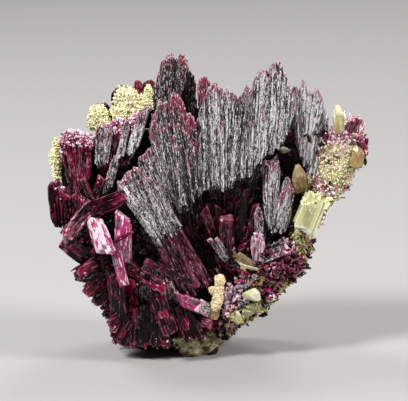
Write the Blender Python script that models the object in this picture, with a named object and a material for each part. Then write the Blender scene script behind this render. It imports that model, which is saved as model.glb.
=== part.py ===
"""An erythrite specimen: striated blades fanning out of a dished piece of cream rock.

Units are metres with +Z up. The display side faces -Y. Places are drawn on a grid of
0.2 mm squares, as the specimen looks from its display side with the eye VIEW_TILT above
level: a column counted to the right, a row counted down, and a depth in millimetres that
grows towards the back. spot() turns such a place into a point.
"""

import math
import random
from collections import namedtuple

import bmesh
import bpy
from mathutils import Matrix, Vector, noise
from mathutils.bvhtree import BVHTree

MM = 0.001
SQUARE = 0.2 * MM  # one square of the drawing grid
MIDDLE_COLUMN = 206.41  # the column at the middle of the specimen's width
MIDDLE_DEPTH = -0.69  # millimetres, the depth at the middle of the specimen's thickness
GROUND_ROW = 352.0  # the row where the base meets the ground at the middle depth
VIEW_TILT = math.radians(12)
GAP = 0.3 * MM  # the clearance between neighbouring pieces
VALLEY = 0.35 * MM  # how far a fan's grooves lie behind its ribs
NOTCH = 0.8 * MM  # how far a groove ends short of the tips beside it

Fan = namedtuple("Fan", "node tips feet depths thick")
Prism = namedtuple("Prism", "node start end width thick sides point")
Lump = namedtuple("Lump", "node centre size rough")


def spot(column, row, depth):
    """The point at a place on the drawing grid, depth in millimetres."""
    x = (column - MIDDLE_COLUMN) * SQUARE
    y = (depth - MIDDLE_DEPTH) * MM
    rise = (GROUND_ROW - row) * SQUARE
    return Vector((x, y, (rise - y * math.sin(VIEW_TILT)) / math.cos(VIEW_TILT)))


def fan(node, tips, feet, depths, thick):
    """A ribbed sheet of crystal from its feet to its ragged tips.

    depths are those of the left tip, right tip, left foot and right foot.
    """
    return Fan(node, tips, feet, depths, thick * MM)


def prism(node, start, end, width, thick, sides=6, point=0.6):
    """A straight crystal. point is the share of its width that is left at its end."""
    return Prism(node, start, end, width * MM, thick * MM, sides, point)


def lump(node, centre, size, rough=0.18):
    """A rounded crust or rock lump, size in millimetres across, up and through."""
    return Lump(node, centre, [side * MM / 2 for side in size], rough)


# The great upright fans and what stands behind them.
UPRIGHT = [
    fan(
        "centre_fan",
        [(196, 121), (198, 116), (202, 104), (206, 90), (210, 83), (215, 82), (221, 88), (226, 96)],
        [(199, 198), (205, 193), (213, 190), (225, 192)],
        (0.5, 0.5, -4.5, -4.5),
        2.0,
    ),
    fan(
        "centre_fan",
        [(223, 92), (228, 87), (233, 93), (238, 96), (242, 92), (246, 84), (250, 87), (257, 100)],
        [(220, 190), (228, 194), (236, 185), (250, 176)],
        (1.5, 1.5, -3.6, -3.4),
        2.0,
    ),
    fan(
        "centre_fan",
        [(251, 88), (254, 77), (259, 69), (264, 66), (268, 71), (271, 64), (275, 60), (281, 63)]
        + [(284, 71), (288, 82), (292, 92), (295, 107)],
        [(242, 182), (250, 176), (258, 166), (270, 156), (281, 149), (291, 123)],
        (0.2, 1.0, -4.2, -1.5),
        2.2,
    ),
    fan("centre_fan", [(197, 82), (201, 75), (206, 75), (211, 84)],
        [(200, 132), (214, 132)], (2.2, 2.2, 1, 1), 1.6),
    fan("centre_fan", [(204, 112), (226, 106), (250, 104), (276, 96)],
        [(212, 240), (228, 244), (244, 240)], (2.4, 2.4, 4, 4), 3.0),
    fan(
        "right_fan",
        [(290, 92), (295, 84), (299, 90), (303, 78), (308, 87), (312, 93), (317, 86), (321, 92)]
        + [(324, 105), (328, 116), (329, 127), (326, 143)],
        [(296, 146), (303, 168), (313, 180), (323, 172)],
        (3, 4, 1.4, 0.8),
        2.2,
    ),
    fan(
        "left_centre_fan",
        [(149, 134), (151, 122), (155, 109), (159, 98), (163, 103), (167, 99), (171, 108), (177, 121)]
        + [(184, 129), (190, 136), (195, 147)],
        [(163, 187), (172, 201), (181, 218), (189, 216), (193, 204), (197, 188)],
        (-3, -2, -6.4, -5.6),
        2.2,
    ),
    fan("left_centre_fan", [(137, 161), (140, 155), (146, 150), (152, 146)],
        [(158, 202), (176, 213)], (-4.6, -4, -6, -6), 1.8),
    fan("left_centre_fan", [(169, 100), (173, 91), (178, 94), (183, 101), (187, 113)],
        [(174, 155), (192, 155)], (-0.6, -0.6, -2.4, -2.4), 1.8),
    fan("left_centre_fan", [(186, 116), (190, 111), (194, 118), (196, 129)],
        [(187, 165), (197, 165)], (-1.4, -1.4, -3, -3), 1.4),
    fan("left_centre_fan", [(158, 130), (176, 126), (192, 134)],
        [(182, 236), (208, 236)], (-1, -1, 3, 3), 2.6),
    fan(
        "rear_tall_blade",
        [(153, 98), (157, 76), (163, 57), (168, 54), (173, 52), (177, 57), (181, 53), (186, 57), (190, 64)],
        [(150, 152), (172, 152)],
        (4.4, 4, 5, 4),
        2.4,
    ),
    fan("rear_tall_blade", [(189, 62), (192, 74), (194, 86), (197, 98)],
        [(172, 152), (198, 152)], (4.4, 8.4, 4.4, 8.4), 1.6),
    fan("rear_red_plates", [(133, 83), (136, 79), (142, 79), (149, 80), (156, 79)],
        [(130, 150), (154, 150)], (7, 7, 7.6, 7.6), 1.6),
    fan("rear_red_plates", [(110, 94), (115, 87), (121, 83), (127, 86), (134, 92)],
        [(118, 150), (140, 150)], (6.4, 6.4, 7, 7), 1.6),
    fan("rear_red_plates", [(91, 110), (97, 101), (103, 100), (110, 106)],
        [(102, 150), (124, 150)], (5.6, 5.6, 6, 6), 1.6),
    fan("rear_fans", [(200, 88), (207, 80), (213, 90), (224, 97), (234, 102), (247, 98), (258, 88)],
        [(206, 175), (262, 175)], (6.6, 6.6, 8, 8), 2.0),
    fan("rear_fans", [(256, 90), (266, 80), (274, 84), (284, 92), (296, 99), (306, 104)],
        [(250, 175), (288, 175)], (6.2, 6.6, 8, 8), 2.0),
]

# The blades in and in front of the dish.
FRONT = [
    fan(
        "front_left_blade",
        [(117, 188), (119, 180), (124, 177), (129, 172), (134, 167), (139, 168), (144, 174), (151, 176)]
        + [(155, 183), (160, 187), (164, 195)],
        [(160, 250), (164, 241), (170, 237), (177, 234), (184, 229)],
        (-9, -8.2, -9.6, -9.2),
        2.2,
    ),
    fan("front_left_blade", [(130, 198), (150, 190), (168, 206)],
        [(187, 303), (197, 298), (206, 292), (214, 284)], (-7.8, -7, -3.6, -2.6), 2.4),
    fan("right_front_blades", [(261, 166), (265, 159), (270, 160), (277, 154), (280, 170)],
        [(265, 222), (269, 234), (278, 234)], (-2.2, -2.2, -3, -3), 1.7),
    fan("right_front_blades", [(278, 195), (284, 187), (290, 181), (295, 191)],
        [(271, 228), (279, 235), (287, 231)], (-3, -3, -3.6, -3.6), 1.7),
    fan("right_front_blades", [(281, 186), (286, 175), (291, 178)],
        [(277, 212), (286, 212)], (-1.8, -1.8, -2.6, -2.6), 1.2),
    fan("right_front_blades", [(264, 192), (286, 196)],
        [(254, 256), (272, 256)], (-2, -2, 3.4, 3.4), 2.0),
    fan("lilac_blades", [(251, 238), (255, 231), (260, 230), (266, 238)],
        [(248, 262), (258, 266)], (-4.4, -4.4, -2.2, -2.2), 1.4),
    prism("hollow_crystals", (203, 208, -1.6), (222, 262, 2.6), 2.6, 1.8),
    prism("hollow_crystals", (222, 206, -0.6), (227, 266, 3), 5.0, 2.6),
    prism("hollow_crystals", (246, 188, 0), (236, 264, 3.2), 1.8, 1.4),
    prism("hollow_crystals", (256, 205, -1.6), (244, 266, 3.2), 1.8, 1.2),
    fan("grey_ribbed_plate", [(140, 267), (150, 263), (162, 268), (172, 280), (181, 295)],
        [(140, 300), (160, 306), (178, 318)], (-8.4, -7.8, -6, -6), 2.0),
    prism("long_wine_lath", (196, 286, -6.4), (146, 260, -10.2), 1.6, 1.4),
]

# The stout wine-red crystals of the lower left.
LOWER_LEFT = [
    prism("glassy_dark_crystal", (92, 209, -11.6), (126, 196, -9), 3.4, 3.0, 4, 0.8),
    prism("upper_wine_prism", (94, 203, -9), (68, 237, -11.4), 3.2, 2.6, 6, 0.7),
    fan("pink_tabular_crystal", [(88, 216), (103, 216)],
        [(100, 254), (119, 255)], (-15, -13.6, -15.4, -14), 2.6),
    prism("purple_prism", (125, 264, -11.6), (122, 213, -11.2), 3.8, 3.2, 6, 0.5),
    prism("purple_prism", (117, 252, -12.8), (126, 284, -13.4), 2.2, 1.8, 6, 0.6),
    prism("low_left_prism", (87, 258, -8.6), (66, 242, -10.4), 3.8, 3.0, 6, 0.7),
    fan("lower_left_fan", [(71, 272), (74, 279), (83, 285)],
        [(98, 255), (104, 264), (110, 272)], (-10.4, -11, -11, -10), 2.4),
    fan("lower_left_fan", [(80, 288), (84, 294), (90, 301), (97, 309)],
        [(104, 268), (112, 276), (118, 290)], (-7.6, -8.4, -8.6, -8), 2.0),
    fan("shell_plate", [(111, 272), (108, 285), (109, 300), (113, 312), (120, 320)],
        [(136, 279), (139, 290), (139, 300), (137, 312)], (-11.6, -11, -7.4, -7.4), 1.8),
    fan("bottom_plates", [(105, 319), (108, 333), (112, 343), (126, 346), (134, 350)],
        [(124, 308), (134, 312), (142, 318)], (-7.4, -8, -8, -8), 2.0),
    fan("bottom_plates", [(128, 348), (140, 350), (152, 347), (162, 349), (171, 351)],
        [(134, 303), (150, 298), (166, 306)], (-8.4, -8.4, -9.4, -9), 2.2),
    prism("long_wine_prism", (121, 261, -12), (166, 288, -12.6), 2.6, 2.6, 4, 0.9),
    prism("steep_wine_prism", (156, 290, -11.4), (172, 332, -12), 3.6, 2.4, 6, 0.8),
    prism("bottom_prisms", (175, 302, -9), (192, 339, -10), 2.6, 2.2, 6, 0.9),
    prism("bottom_prisms", (184, 304, -8.6), (202, 336, -9), 2.0, 1.8, 6, 0.8),
    prism("magenta_crystal", (212, 310, -7), (180, 299, -10.4), 2.6, 2.2, 6, 0.7),
    prism("magenta_wedge", (190, 316, -7), (212, 324, -8.4), 2.8, 2.2, 6, 0.6),
]

# The shorter blades of the upper left.
UPPER_LEFT = [
    fan("left_cup_bundle", [(61, 141), (64, 134), (70, 130), (78, 131), (87, 134), (95, 138)],
        [(72, 192), (82, 196), (92, 182)], (-2.4, -3.4, -5, -5), 4.4),
    fan("left_upright_blades", [(97, 131), (99, 124), (105, 121), (111, 124), (114, 132)],
        [(96, 167), (101, 171), (109, 164)], (-4, -4, -5.6, -5.4), 2.2),
    fan("left_upright_blades", [(112, 123), (119, 118), (127, 120), (134, 116), (140, 112)],
        [(100, 176), (128, 172)], (-1.4, -1.4, -3.6, -3.6), 2.8),
    fan("left_upright_blades", [(138, 114), (144, 108), (149, 104), (153, 103)],
        [(126, 156), (132, 159), (138, 152)], (-2.6, -2, -4.2, -4.2), 1.6),
    fan("left_upright_blades", [(125, 123), (129, 117), (132, 119)],
        [(116, 161), (121, 163), (124, 158)], (-2.6, -2.6, -4.2, -4.2), 1.4),
    fan("left_grey_lath", [(107, 176), (111, 166), (116, 155), (120, 160)],
        [(104, 197), (108, 194), (114, 188)], (-6.6, -6.6, -7.8, -7.6), 1.5),
    fan("left_dark_bundle", [(50, 183), (56, 179), (63, 185), (72, 190), (82, 193), (90, 199)],
        [(55, 223), (62, 230), (75, 226), (90, 216)], (-3, -7.4, -5, -8.2), 3.6),
    prism("purple_pair", (95, 203, -8.8), (84, 179, -9.2), 1.6, 1.4),
    prism("purple_pair", (94, 202, -8.6), (103, 177, -8.2), 1.8, 1.4),
]

# The calcite and the crusts on the right, the bottom and the upper left.
CALCITE = [
    prism("calcite_point", (341, 134, 0), (338, 106, 1.4), 2.8, 2.4, 6, 0.3),
    fan("corner_wine_blades", [(344, 126), (349, 114), (354, 117), (359, 115), (364, 124)],
        [(338, 142), (350, 148), (360, 146)], (-0.6, -0.6, -2, -2), 2.6),
    prism("calcite_block", (318, 194, -4.6), (303, 231, -5.6), 5.4, 4.0, 6, 0.9),
    prism("amber_calcite", (301, 190, -1.6), (297, 166, -3.6), 3.0, 2.4, 6, 0.5),
    prism("cream_column", (214, 318, -8), (219, 274, -9.6), 2.6, 2.4, 6, 0.6),
    lump("cream_crust_top", (128, 103, 2.8), (6.8, 7.2, 3.0)),
    lump("cream_crust_top", (146, 98, 3.2), (3.4, 5.2, 2.4)),
    lump("cream_crust_top", (99, 117, 2.2), (5.6, 5.6, 2.8)),
    lump("cream_crust_left", (57, 160, -1.4), (2.8, 9.0, 3.0)),
]

# Bulges of the rock itself, fused to it.
ROCK_LUMPS = [
    lump("matrix", (352, 150, -2.6), (6.0, 7.0, 5.0)),
    lump("matrix", (338, 168, -3.6), (6.4, 7.0, 5.4)),
    lump("matrix", (327, 186, -4.2), (6.0, 7.0, 5.4)),
    lump("matrix", (282, 262, -4.6), (8.6, 7.0, 5.4)),
    lump("matrix", (254, 292, -5.4), (7.6, 6.4, 5.0)),
    lump("matrix", (232, 312, -5.4), (7.6, 5.6, 5.0)),
    lump("matrix", (190, 346, -3.6), (6.4, 4.8, 6.0)),
    lump("matrix", (208, 345, -2.6), (5.0, 5.0, 5.0)),
]

ROCK_CENTRE = (215, 232)
ROCK_OUTLINE = [
    (80, 165), (92, 140), (120, 132), (160, 132), (205, 132), (250, 130), (290, 134), (322, 138),
    (345, 124), (364, 140), (360, 162), (344, 190), (330, 211), (316, 235), (306, 262), (284, 288),
    (262, 314), (240, 326), (222, 340), (209, 353), (182, 366), (150, 364), (128, 346), (112, 316),
    (96, 284), (80, 246), (68, 214), (70, 188),
]  # fmt: skip
RIM_LINE = [
    (352, 140), (318, 213), (288, 270), (236, 312), (186, 336), (136, 318), (108, 280), (96, 240),
    (92, 226),
]  # fmt: skip
RIM_REACH = 30  # squares over which the rim falls away into the dish
DISH_DEPTH = 2.6  # millimetres, the depth of the dish's floor
RIM_DEPTH = -7.0  # millimetres, the depth of the rim's crest at its middle
RIM_SLANT = 2.2  # millimetres deeper, per 100 columns to the right
EDGE_DEPTH = 0.5  # millimetres, where the front of the rock meets its back
BACK_DEPTH = 12.5  # millimetres, the depth of the rock's back at its centre
BACK_SLANT = (-2.2, 2.6)  # millimetres deeper, per 100 columns to the right and rows down
ROCK_SEGMENTS, ROCK_RINGS = 30, 15
HILLS, HILLS_PER_METRE = 1.3 * MM, 130
CHIPS, CHIPS_PER_METRE = 0.5 * MM, 420
DRUSE_FRONT, DRUSE_BACK = 13, 8  # small crystals that stand on the rock
DRUSE_ROOT = 1.2 * MM  # how far they reach into it

# Pieces are finished in this order, and each gives way to those before it.
ORDER = [
    "matrix", "front_left_blade", "centre_fan", "left_centre_fan", "right_fan", "right_front_blades",
    "rear_tall_blade", "pink_tabular_crystal", "purple_prism", "upper_wine_prism", "glassy_dark_crystal",
    "long_wine_prism", "steep_wine_prism", "left_cup_bundle", "left_upright_blades", "left_grey_lath",
    "left_dark_bundle", "purple_pair", "low_left_prism", "lower_left_fan", "shell_plate",
    "bottom_prisms", "magenta_crystal", "magenta_wedge", "bottom_plates", "long_wine_lath",
    "grey_ribbed_plate", "lilac_blades", "hollow_crystals", "calcite_point", "calcite_block",
    "corner_wine_blades", "amber_calcite", "cream_column", "cream_crust_top", "cream_crust_left",
    "rear_red_plates", "rear_fans",
]  # fmt: skip


def along(points, share):
    """The place at that share of a drawn line's length."""
    places = [Vector(point) for point in points]
    lengths = [(b - a).length for a, b in zip(places, places[1:])]
    left = share * sum(lengths)
    for a, b, length in zip(places, places[1:], lengths):
        if left <= length:
            return a.lerp(b, left / length)
        left -= length
    return places[-1]


def share_at(points, index):
    """The share of a drawn line's length that lies before one of its points."""
    lengths = [(Vector(b) - Vector(a)).length for a, b in zip(points, points[1:])]
    return sum(lengths[:index]) / sum(lengths)


def fan_point(piece, u, t):
    """A point of a fan's sheet, u across it from the left and t up it from its feet."""
    left_tip, right_tip, left_foot, right_foot = piece.depths
    tip_depth = left_tip + (right_tip - left_tip) * u
    foot_depth = left_foot + (right_foot - left_foot) * u
    tip = spot(*along(piece.tips, u), tip_depth)
    foot = spot(*along(piece.feet, u), foot_depth)
    return foot.lerp(tip, t)


def fan_columns(piece):
    """(share across, lies in a groove) for each column of a fan's sheet."""
    ribs = [share_at(piece.tips, i) for i in range(len(piece.tips))]
    columns = [(ribs[0], False)]
    for a, b in zip(ribs, ribs[1:]):
        columns += [((a + b) / 2, True), (b, False)]
    return columns


def fan_mesh(piece, grow):
    """A fan as a closed sheet, grow larger on every side."""
    columns = fan_columns(piece)
    last = len(columns) - 1
    across = (fan_point(piece, 1, 0.5) - fan_point(piece, 0, 0.5)).normalized()
    upward = (fan_point(piece, 0.5, 1) - fan_point(piece, 0.5, 0)).normalized()
    facing = across.cross(upward).normalized()
    if facing.y > 0:
        facing = -facing
    bm = bmesh.new()
    bmesh.ops.create_grid(bm, x_segments=last, y_segments=1, size=1)
    front = bmesh.ops.extrude_face_region(bm, geom=bm.faces[:], use_keep_orig=True)["geom"]
    bmesh.ops.translate(
        bm, verts=[part for part in front if isinstance(part, bmesh.types.BMVert)], vec=(0, 0, 1)
    )
    for vertex in bm.verts:
        column = round((vertex.co.x + 1) / 2 * last)
        at_tip = vertex.co.y > 0
        u, groove = columns[column]
        point = fan_point(piece, u, at_tip)
        if groove and len(columns) > 3:
            point -= facing * VALLEY
            if at_tip:
                point -= upward * NOTCH
        point += across * grow * ((column == last) - (column == 0))
        point += upward * grow * (1 if at_tip else -1)
        point += facing * (piece.thick / 2 + grow) * (1 if vertex.co.z > 0.5 else -1)
        vertex.co = point
    return baked(placed("sheet", bm))


def crystal(start, end, width, thick, sides, point):
    """A straight crystal between two points, narrowed and cut aslant at its end."""
    axis = (end - start).normalized()
    facing = Vector((0, -1, 0.2))
    facing = (facing - axis * facing.dot(axis)).normalized()
    side = axis.cross(facing)
    length = (end - start).length
    bm = bmesh.new()
    bmesh.ops.create_cone(bm, cap_ends=True, segments=sides, radius1=0.5, radius2=0.5, depth=1)
    turn = Matrix.Identity(4)
    if sides == 4:
        turn = Matrix.Rotation(math.pi / 4, 4, "Z") @ Matrix.Scale(math.sqrt(2), 4)
    for vertex in bm.verts:
        x, y, _ = turn @ vertex.co
        z = vertex.co.z
        if z > 0:
            x *= point
            y *= point
            z += x * (1 - point) * width / length
        vertex.co = (start + end) / 2 + side * x * width + facing * y * thick + axis * z * length
    return baked(placed("crystal", bm))


def prism_mesh(piece, grow):
    """A drawn crystal, grow larger all round."""
    start, end = spot(*piece.start), spot(*piece.end)
    axis = (end - start).normalized()
    width, thick = piece.width + 2 * grow, piece.thick + 2 * grow
    return crystal(start - axis * grow, end + axis * grow, width, thick, piece.sides, piece.point)


def lump_mesh(piece, grow):
    """A lump: a ball pressed to size, with an uneven skin."""
    centre = spot(*piece.centre)
    across, up, through = piece.size
    bm = bmesh.new()
    bmesh.ops.create_icosphere(bm, subdivisions=2, radius=1)
    for vertex in bm.verts:
        bump = 1 + piece.rough * noise.noise(vertex.co * 1.7 + centre * 900)
        x, y, z = vertex.co * bump
        vertex.co = centre + Vector((x * across, y * through, z * up))
    return swollen(baked(placed("lump", bm)), grow)


def swollen(mesh, grow):
    """A rounded mesh, grow larger all round."""
    offsets = [vertex.normal * grow for vertex in mesh.vertices]
    for vertex, offset in zip(mesh.vertices, offsets):
        vertex.co += offset
    return mesh


def distance_to_line(place, line):
    """How far a place on the drawing grid is from a drawn line, in squares."""
    nearest = math.inf
    for a, b in zip(line, line[1:]):
        a, b = Vector(a), Vector(b)
        share = (place - a).dot(b - a) / (b - a).length_squared
        nearest = min(nearest, (a.lerp(b, min(1, max(0, share))) - place).length)
    return nearest


def rock_front(place):
    """The depth of the rock's front, in millimetres: a dish inside a raised rim."""
    near = max(0, 1 - distance_to_line(place, RIM_LINE) / RIM_REACH)
    height = near * near * (3 - 2 * near)
    crest = RIM_DEPTH + RIM_SLANT * (place.x - ROCK_CENTRE[0]) / 100
    return DISH_DEPTH + (crest - DISH_DEPTH) * height


def rock_point(turn, slope):
    """A point of the rock's skin, turn round its outline and slope from front to back."""
    outline = along([*ROCK_OUTLINE, ROCK_OUTLINE[0]], turn)
    centre = Vector(ROCK_CENTRE)
    if slope < math.pi / 2:
        place = centre.lerp(outline, math.sin(slope) ** 0.8)
        rise = min(1, 2.2 * math.cos(slope))
        depth = EDGE_DEPTH + (rock_front(place) - EDGE_DEPTH) * rise
    else:
        place = centre.lerp(outline, math.sin(slope) ** 0.45)
        rise = max(0, -math.cos(slope)) ** 0.7
        slant = (place - centre).dot(Vector(BACK_SLANT)) / 100
        depth = EDGE_DEPTH + (BACK_DEPTH + slant - EDGE_DEPTH) * rise
    point = spot(*place, depth)
    outward = (point - spot(*centre, 4)).normalized()
    hills = noise.fractal(point * HILLS_PER_METRE, 0.8, 2.0, 2) * HILLS
    chips = noise.noise(point * CHIPS_PER_METRE) * CHIPS
    return point + outward * (hills + chips)


def rock_mesh(grow):
    """The rock: a dished lens with an uneven outline, broken off flat underneath."""
    bm = bmesh.new()
    bmesh.ops.create_uvsphere(bm, u_segments=ROCK_SEGMENTS, v_segments=ROCK_RINGS, radius=1)
    for vertex in bm.verts:
        turn = math.atan2(vertex.co.y, vertex.co.x) / math.tau % 1
        slope = math.acos(min(1, max(-1, vertex.co.z)))
        vertex.co = rock_point(turn, slope)
    return swollen(baked(placed("rock", bm)), grow)


def druse(grow):
    """Small crystals round the dish's left and lower sides and over the rock's back."""
    rng = random.Random(17)
    shapes = []
    for number in range(DRUSE_FRONT + DRUSE_BACK):
        if number < DRUSE_FRONT:
            turn, slope = rng.uniform(0.58, 1.16) % 1, rng.uniform(0.16, 0.46) * math.pi
        else:
            turn, slope = rng.uniform(0.0, 1.0), rng.uniform(0.56, 0.86) * math.pi
        root = rock_point(turn, slope)
        outward = (root - spot(*ROCK_CENTRE, 8)).normalized()
        lean = Vector([rng.uniform(-0.5, 0.5) for _ in range(3)])
        axis = (outward + lean).normalized()
        length, width = rng.uniform(1.4, 2.8) * MM, rng.uniform(1.1, 2.2) * MM
        foot, end = root - axis * DRUSE_ROOT, root + axis * (length + grow)
        wide, thick = width + 2 * grow, 0.7 * width + 2 * grow
        shapes.append(crystal(foot, end, wide, thick, 4, 0.5))
    return shapes


def break_flat(mesh, height):
    """Cuts a mesh off level at a height, and closes it there."""
    bm = bmesh.new()
    bm.from_mesh(mesh)
    found = bmesh.ops.bisect_plane(
        bm,
        geom=[*bm.verts, *bm.edges, *bm.faces],
        plane_co=(0, 0, height),
        plane_no=(0, 0, 1),
        clear_inner=True,
    )
    cut = [part for part in found["geom_cut"] if isinstance(part, bmesh.types.BMEdge)]
    bmesh.ops.contextual_create(bm, geom=cut)
    bmesh.ops.triangulate(bm, faces=bm.faces)
    bm.to_mesh(mesh)
    bm.free()
    return mesh


def placed(name, bm):
    """A helper object made from a bmesh."""
    mesh = bpy.data.meshes.new(name)
    bm.to_mesh(mesh)
    bm.free()
    helper = bpy.data.objects.new(name, mesh)
    bpy.context.scene.collection.objects.link(helper)
    return helper


def baked(helper):
    """A helper's mesh with its modifiers applied, in triangles facing out."""
    graph = bpy.context.evaluated_depsgraph_get()
    mesh = bpy.data.meshes.new_from_object(helper.evaluated_get(graph))
    bpy.data.objects.remove(helper)
    bm = bmesh.new()
    bm.from_mesh(mesh)
    bmesh.ops.triangulate(bm, faces=bm.faces)
    bmesh.ops.recalc_face_normals(bm, faces=bm.faces)
    if bm.calc_volume(signed=True) < 0:
        bmesh.ops.reverse_faces(bm, faces=bm.faces)
    bm.to_mesh(mesh)
    bm.free()
    return mesh


def joined(mesh, other, operation):
    """The Boolean of two closed meshes."""
    helper = bpy.data.objects.new("first", mesh)
    second = bpy.data.objects.new("second", other)
    for each in (helper, second):
        bpy.context.scene.collection.objects.link(each)
    boolean = helper.modifiers.new("boolean", "BOOLEAN")
    boolean.operation = operation
    boolean.solver = "MANIFOLD"  # the exact one loses bodies among this many slanting faces
    boolean.object = second
    made = baked(helper)
    bpy.data.objects.remove(second)
    return made


def tree_of(mesh):
    """A search tree of a mesh's triangles."""
    points = [vertex.co.copy() for vertex in mesh.vertices]
    return BVHTree.FromPolygons(points, [tuple(face.vertices) for face in mesh.polygons])


def largest_body(mesh):
    """Keeps the largest of a mesh's separate bodies."""
    bm = bmesh.new()
    bm.from_mesh(mesh)
    unseen, bodies = set(bm.faces), []
    while unseen:
        body, edge_of_body = set(), [unseen.pop()]
        while edge_of_body:
            face = edge_of_body.pop()
            body.add(face)
            for edge in face.edges:
                for other in edge.link_faces:
                    if other in unseen:
                        unseen.remove(other)
                        edge_of_body.append(other)
        volume = sum(
            face.verts[0].co.dot(face.verts[1].co.cross(face.verts[2].co)) / 6 for face in body
        )
        bodies.append((volume, body))
    bodies.sort(key=lambda found: found[0])
    for volume, body in bodies[:-1]:
        bmesh.ops.delete(bm, geom=list(body), context="FACES")
    bm.to_mesh(mesh)
    bm.free()
    return mesh


def shapes_of(name, drawn, grow):
    """The closed meshes that one node is joined from."""
    makers = {Fan: fan_mesh, Prism: prism_mesh, Lump: lump_mesh}
    shapes = [rock_mesh(grow), *druse(grow)] if name == "matrix" else []
    return shapes + [makers[type(piece)](piece, grow) for piece in drawn]


def finish(name, colour, roughness):
    """A plain material in the mineral's colour."""
    material = bpy.data.materials.new(name)
    material.use_nodes = True
    surface = material.node_tree.nodes["Principled BSDF"]
    surface.inputs["Base Color"].default_value = (*colour, 1)
    surface.inputs["Roughness"].default_value = roughness
    return material


def finishes():
    """A material for each mineral, and the node names that don't take the default."""
    silver = finish("silvery_erythrite", (0.20, 0.14, 0.16), 0.35)
    wine = finish("wine_erythrite", (0.16, 0.012, 0.05), 0.25)
    pink = finish("pink_erythrite", (0.62, 0.16, 0.36), 0.3)
    cream = finish("cream_crust", (0.66, 0.62, 0.36), 0.75)
    rock = finish("cream_rock", (0.50, 0.44, 0.30), 0.8)
    calcite = finish("honey_calcite", (0.66, 0.56, 0.30), 0.3)
    chosen = {"matrix": rock, "pink_tabular_crystal": pink, "magenta_crystal": pink}
    for name in ORDER:
        if name.startswith(("calcite", "amber", "cream_column")):
            chosen[name] = calcite
        elif name.startswith("cream_crust"):
            chosen[name] = cream
        elif name not in chosen:
            silvery = name.endswith(("fan", "fans", "blade", "blades", "lath", "plate"))
            chosen[name] = silver if silvery and "wine" not in name else wine
    return chosen


def clear_scene():
    """Removes whatever the scene held."""
    for each in list(bpy.data.objects):
        bpy.data.objects.remove(each)


def main():
    clear_scene()
    collection = bpy.data.collections.new("erythrite_specimen")
    bpy.context.scene.collection.children.link(collection)
    pieces = {}
    for piece in UPRIGHT + FRONT + LOWER_LEFT + UPPER_LEFT + CALCITE + ROCK_LUMPS:
        pieces.setdefault(piece.node, []).append(piece)
    materials = finishes()
    grown = []  # the finished pieces' shapes with the gap added, as (tree, mesh)
    for name in ORDER:
        shapes = shapes_of(name, pieces[name], 0)
        body = shapes[0]
        for shape in shapes[1:]:
            body = joined(body, shape, "UNION")
        if name == "matrix":
            body = break_flat(body, 0)
        for tree, cutter in grown:
            if tree.overlap(tree_of(body)):
                body = joined(body, cutter.copy(), "DIFFERENCE")
        body = largest_body(body)
        body.materials.clear()
        body.materials.append(materials[name])
        collection.objects.link(bpy.data.objects.new(name, body))
        grown += [(tree_of(shape), shape) for shape in shapes_of(name, pieces[name], GAP)]


main()
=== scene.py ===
"""The looks of an erythrite specimen: sprays of fine striated blades on a dished piece of rock.

Places are drawn on the same grid of 0.2 mm squares as the solids: a column counted to the
right and a row counted down, as the specimen looks from its display side, and a depth in
millimetres that grows towards the back. spot() turns such a place into a point in metres.
"""

import math
import random
from collections import namedtuple

import bmesh
import bpy
import numpy as np
from mathutils import Matrix, Vector, noise
from mathutils.bvhtree import BVHTree


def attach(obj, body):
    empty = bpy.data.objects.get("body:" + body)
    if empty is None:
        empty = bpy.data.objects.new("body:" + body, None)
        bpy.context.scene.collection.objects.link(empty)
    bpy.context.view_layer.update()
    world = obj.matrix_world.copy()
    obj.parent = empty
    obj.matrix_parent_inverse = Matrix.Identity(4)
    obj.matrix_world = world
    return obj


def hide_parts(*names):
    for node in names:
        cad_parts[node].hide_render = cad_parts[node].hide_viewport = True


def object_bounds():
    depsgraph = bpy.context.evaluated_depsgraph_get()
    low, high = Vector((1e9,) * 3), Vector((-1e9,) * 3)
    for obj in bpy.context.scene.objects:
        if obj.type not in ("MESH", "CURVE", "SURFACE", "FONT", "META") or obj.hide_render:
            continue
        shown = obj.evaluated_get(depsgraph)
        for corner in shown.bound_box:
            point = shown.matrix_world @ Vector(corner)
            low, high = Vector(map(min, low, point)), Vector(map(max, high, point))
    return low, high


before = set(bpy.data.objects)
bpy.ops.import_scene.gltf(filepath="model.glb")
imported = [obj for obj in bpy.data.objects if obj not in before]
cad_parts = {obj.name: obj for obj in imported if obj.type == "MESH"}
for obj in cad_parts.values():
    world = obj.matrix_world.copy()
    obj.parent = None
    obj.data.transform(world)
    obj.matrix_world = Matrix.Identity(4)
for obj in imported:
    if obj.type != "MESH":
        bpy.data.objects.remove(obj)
cad_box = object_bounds()

MM = 0.001
SQUARE = 0.2 * MM  # one square of the drawing grid
GRID_WIDTH, GRID_HEIGHT = 408, 401  # squares
MIDDLE_COLUMN = 206.41  # the column at the middle of the specimen's width
MIDDLE_DEPTH = -0.69  # millimetres, the depth at the middle of the specimen's thickness
GROUND_ROW = 352.0  # the row where the foot meets the ground at the middle depth
VIEW_TILT = math.radians(12)
GROUND_GAP = 0.03 * MM  # how far above the ground every piece but the rock stays

Fan = namedtuple("Fan", "node look thick depths tips feet")
Prism = namedtuple("Prism", "node look width thick start end")
Lump = namedtuple("Lump", "node place size")
Patch = namedtuple("Patch", "look place reach count lengths")
Look = namedtuple("Look", "slot layers blade silver blush laths sugar ragged striae")


def spot(column, row, depth):
    """The point at a place on the drawing grid, depth in millimetres."""
    x = (column - MIDDLE_COLUMN) * SQUARE
    y = (depth - MIDDLE_DEPTH) * MM
    rise = (GROUND_ROW - row) * SQUARE
    return Vector((x, y, (rise - y * math.sin(VIEW_TILT)) / math.cos(VIEW_TILT)))


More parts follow.
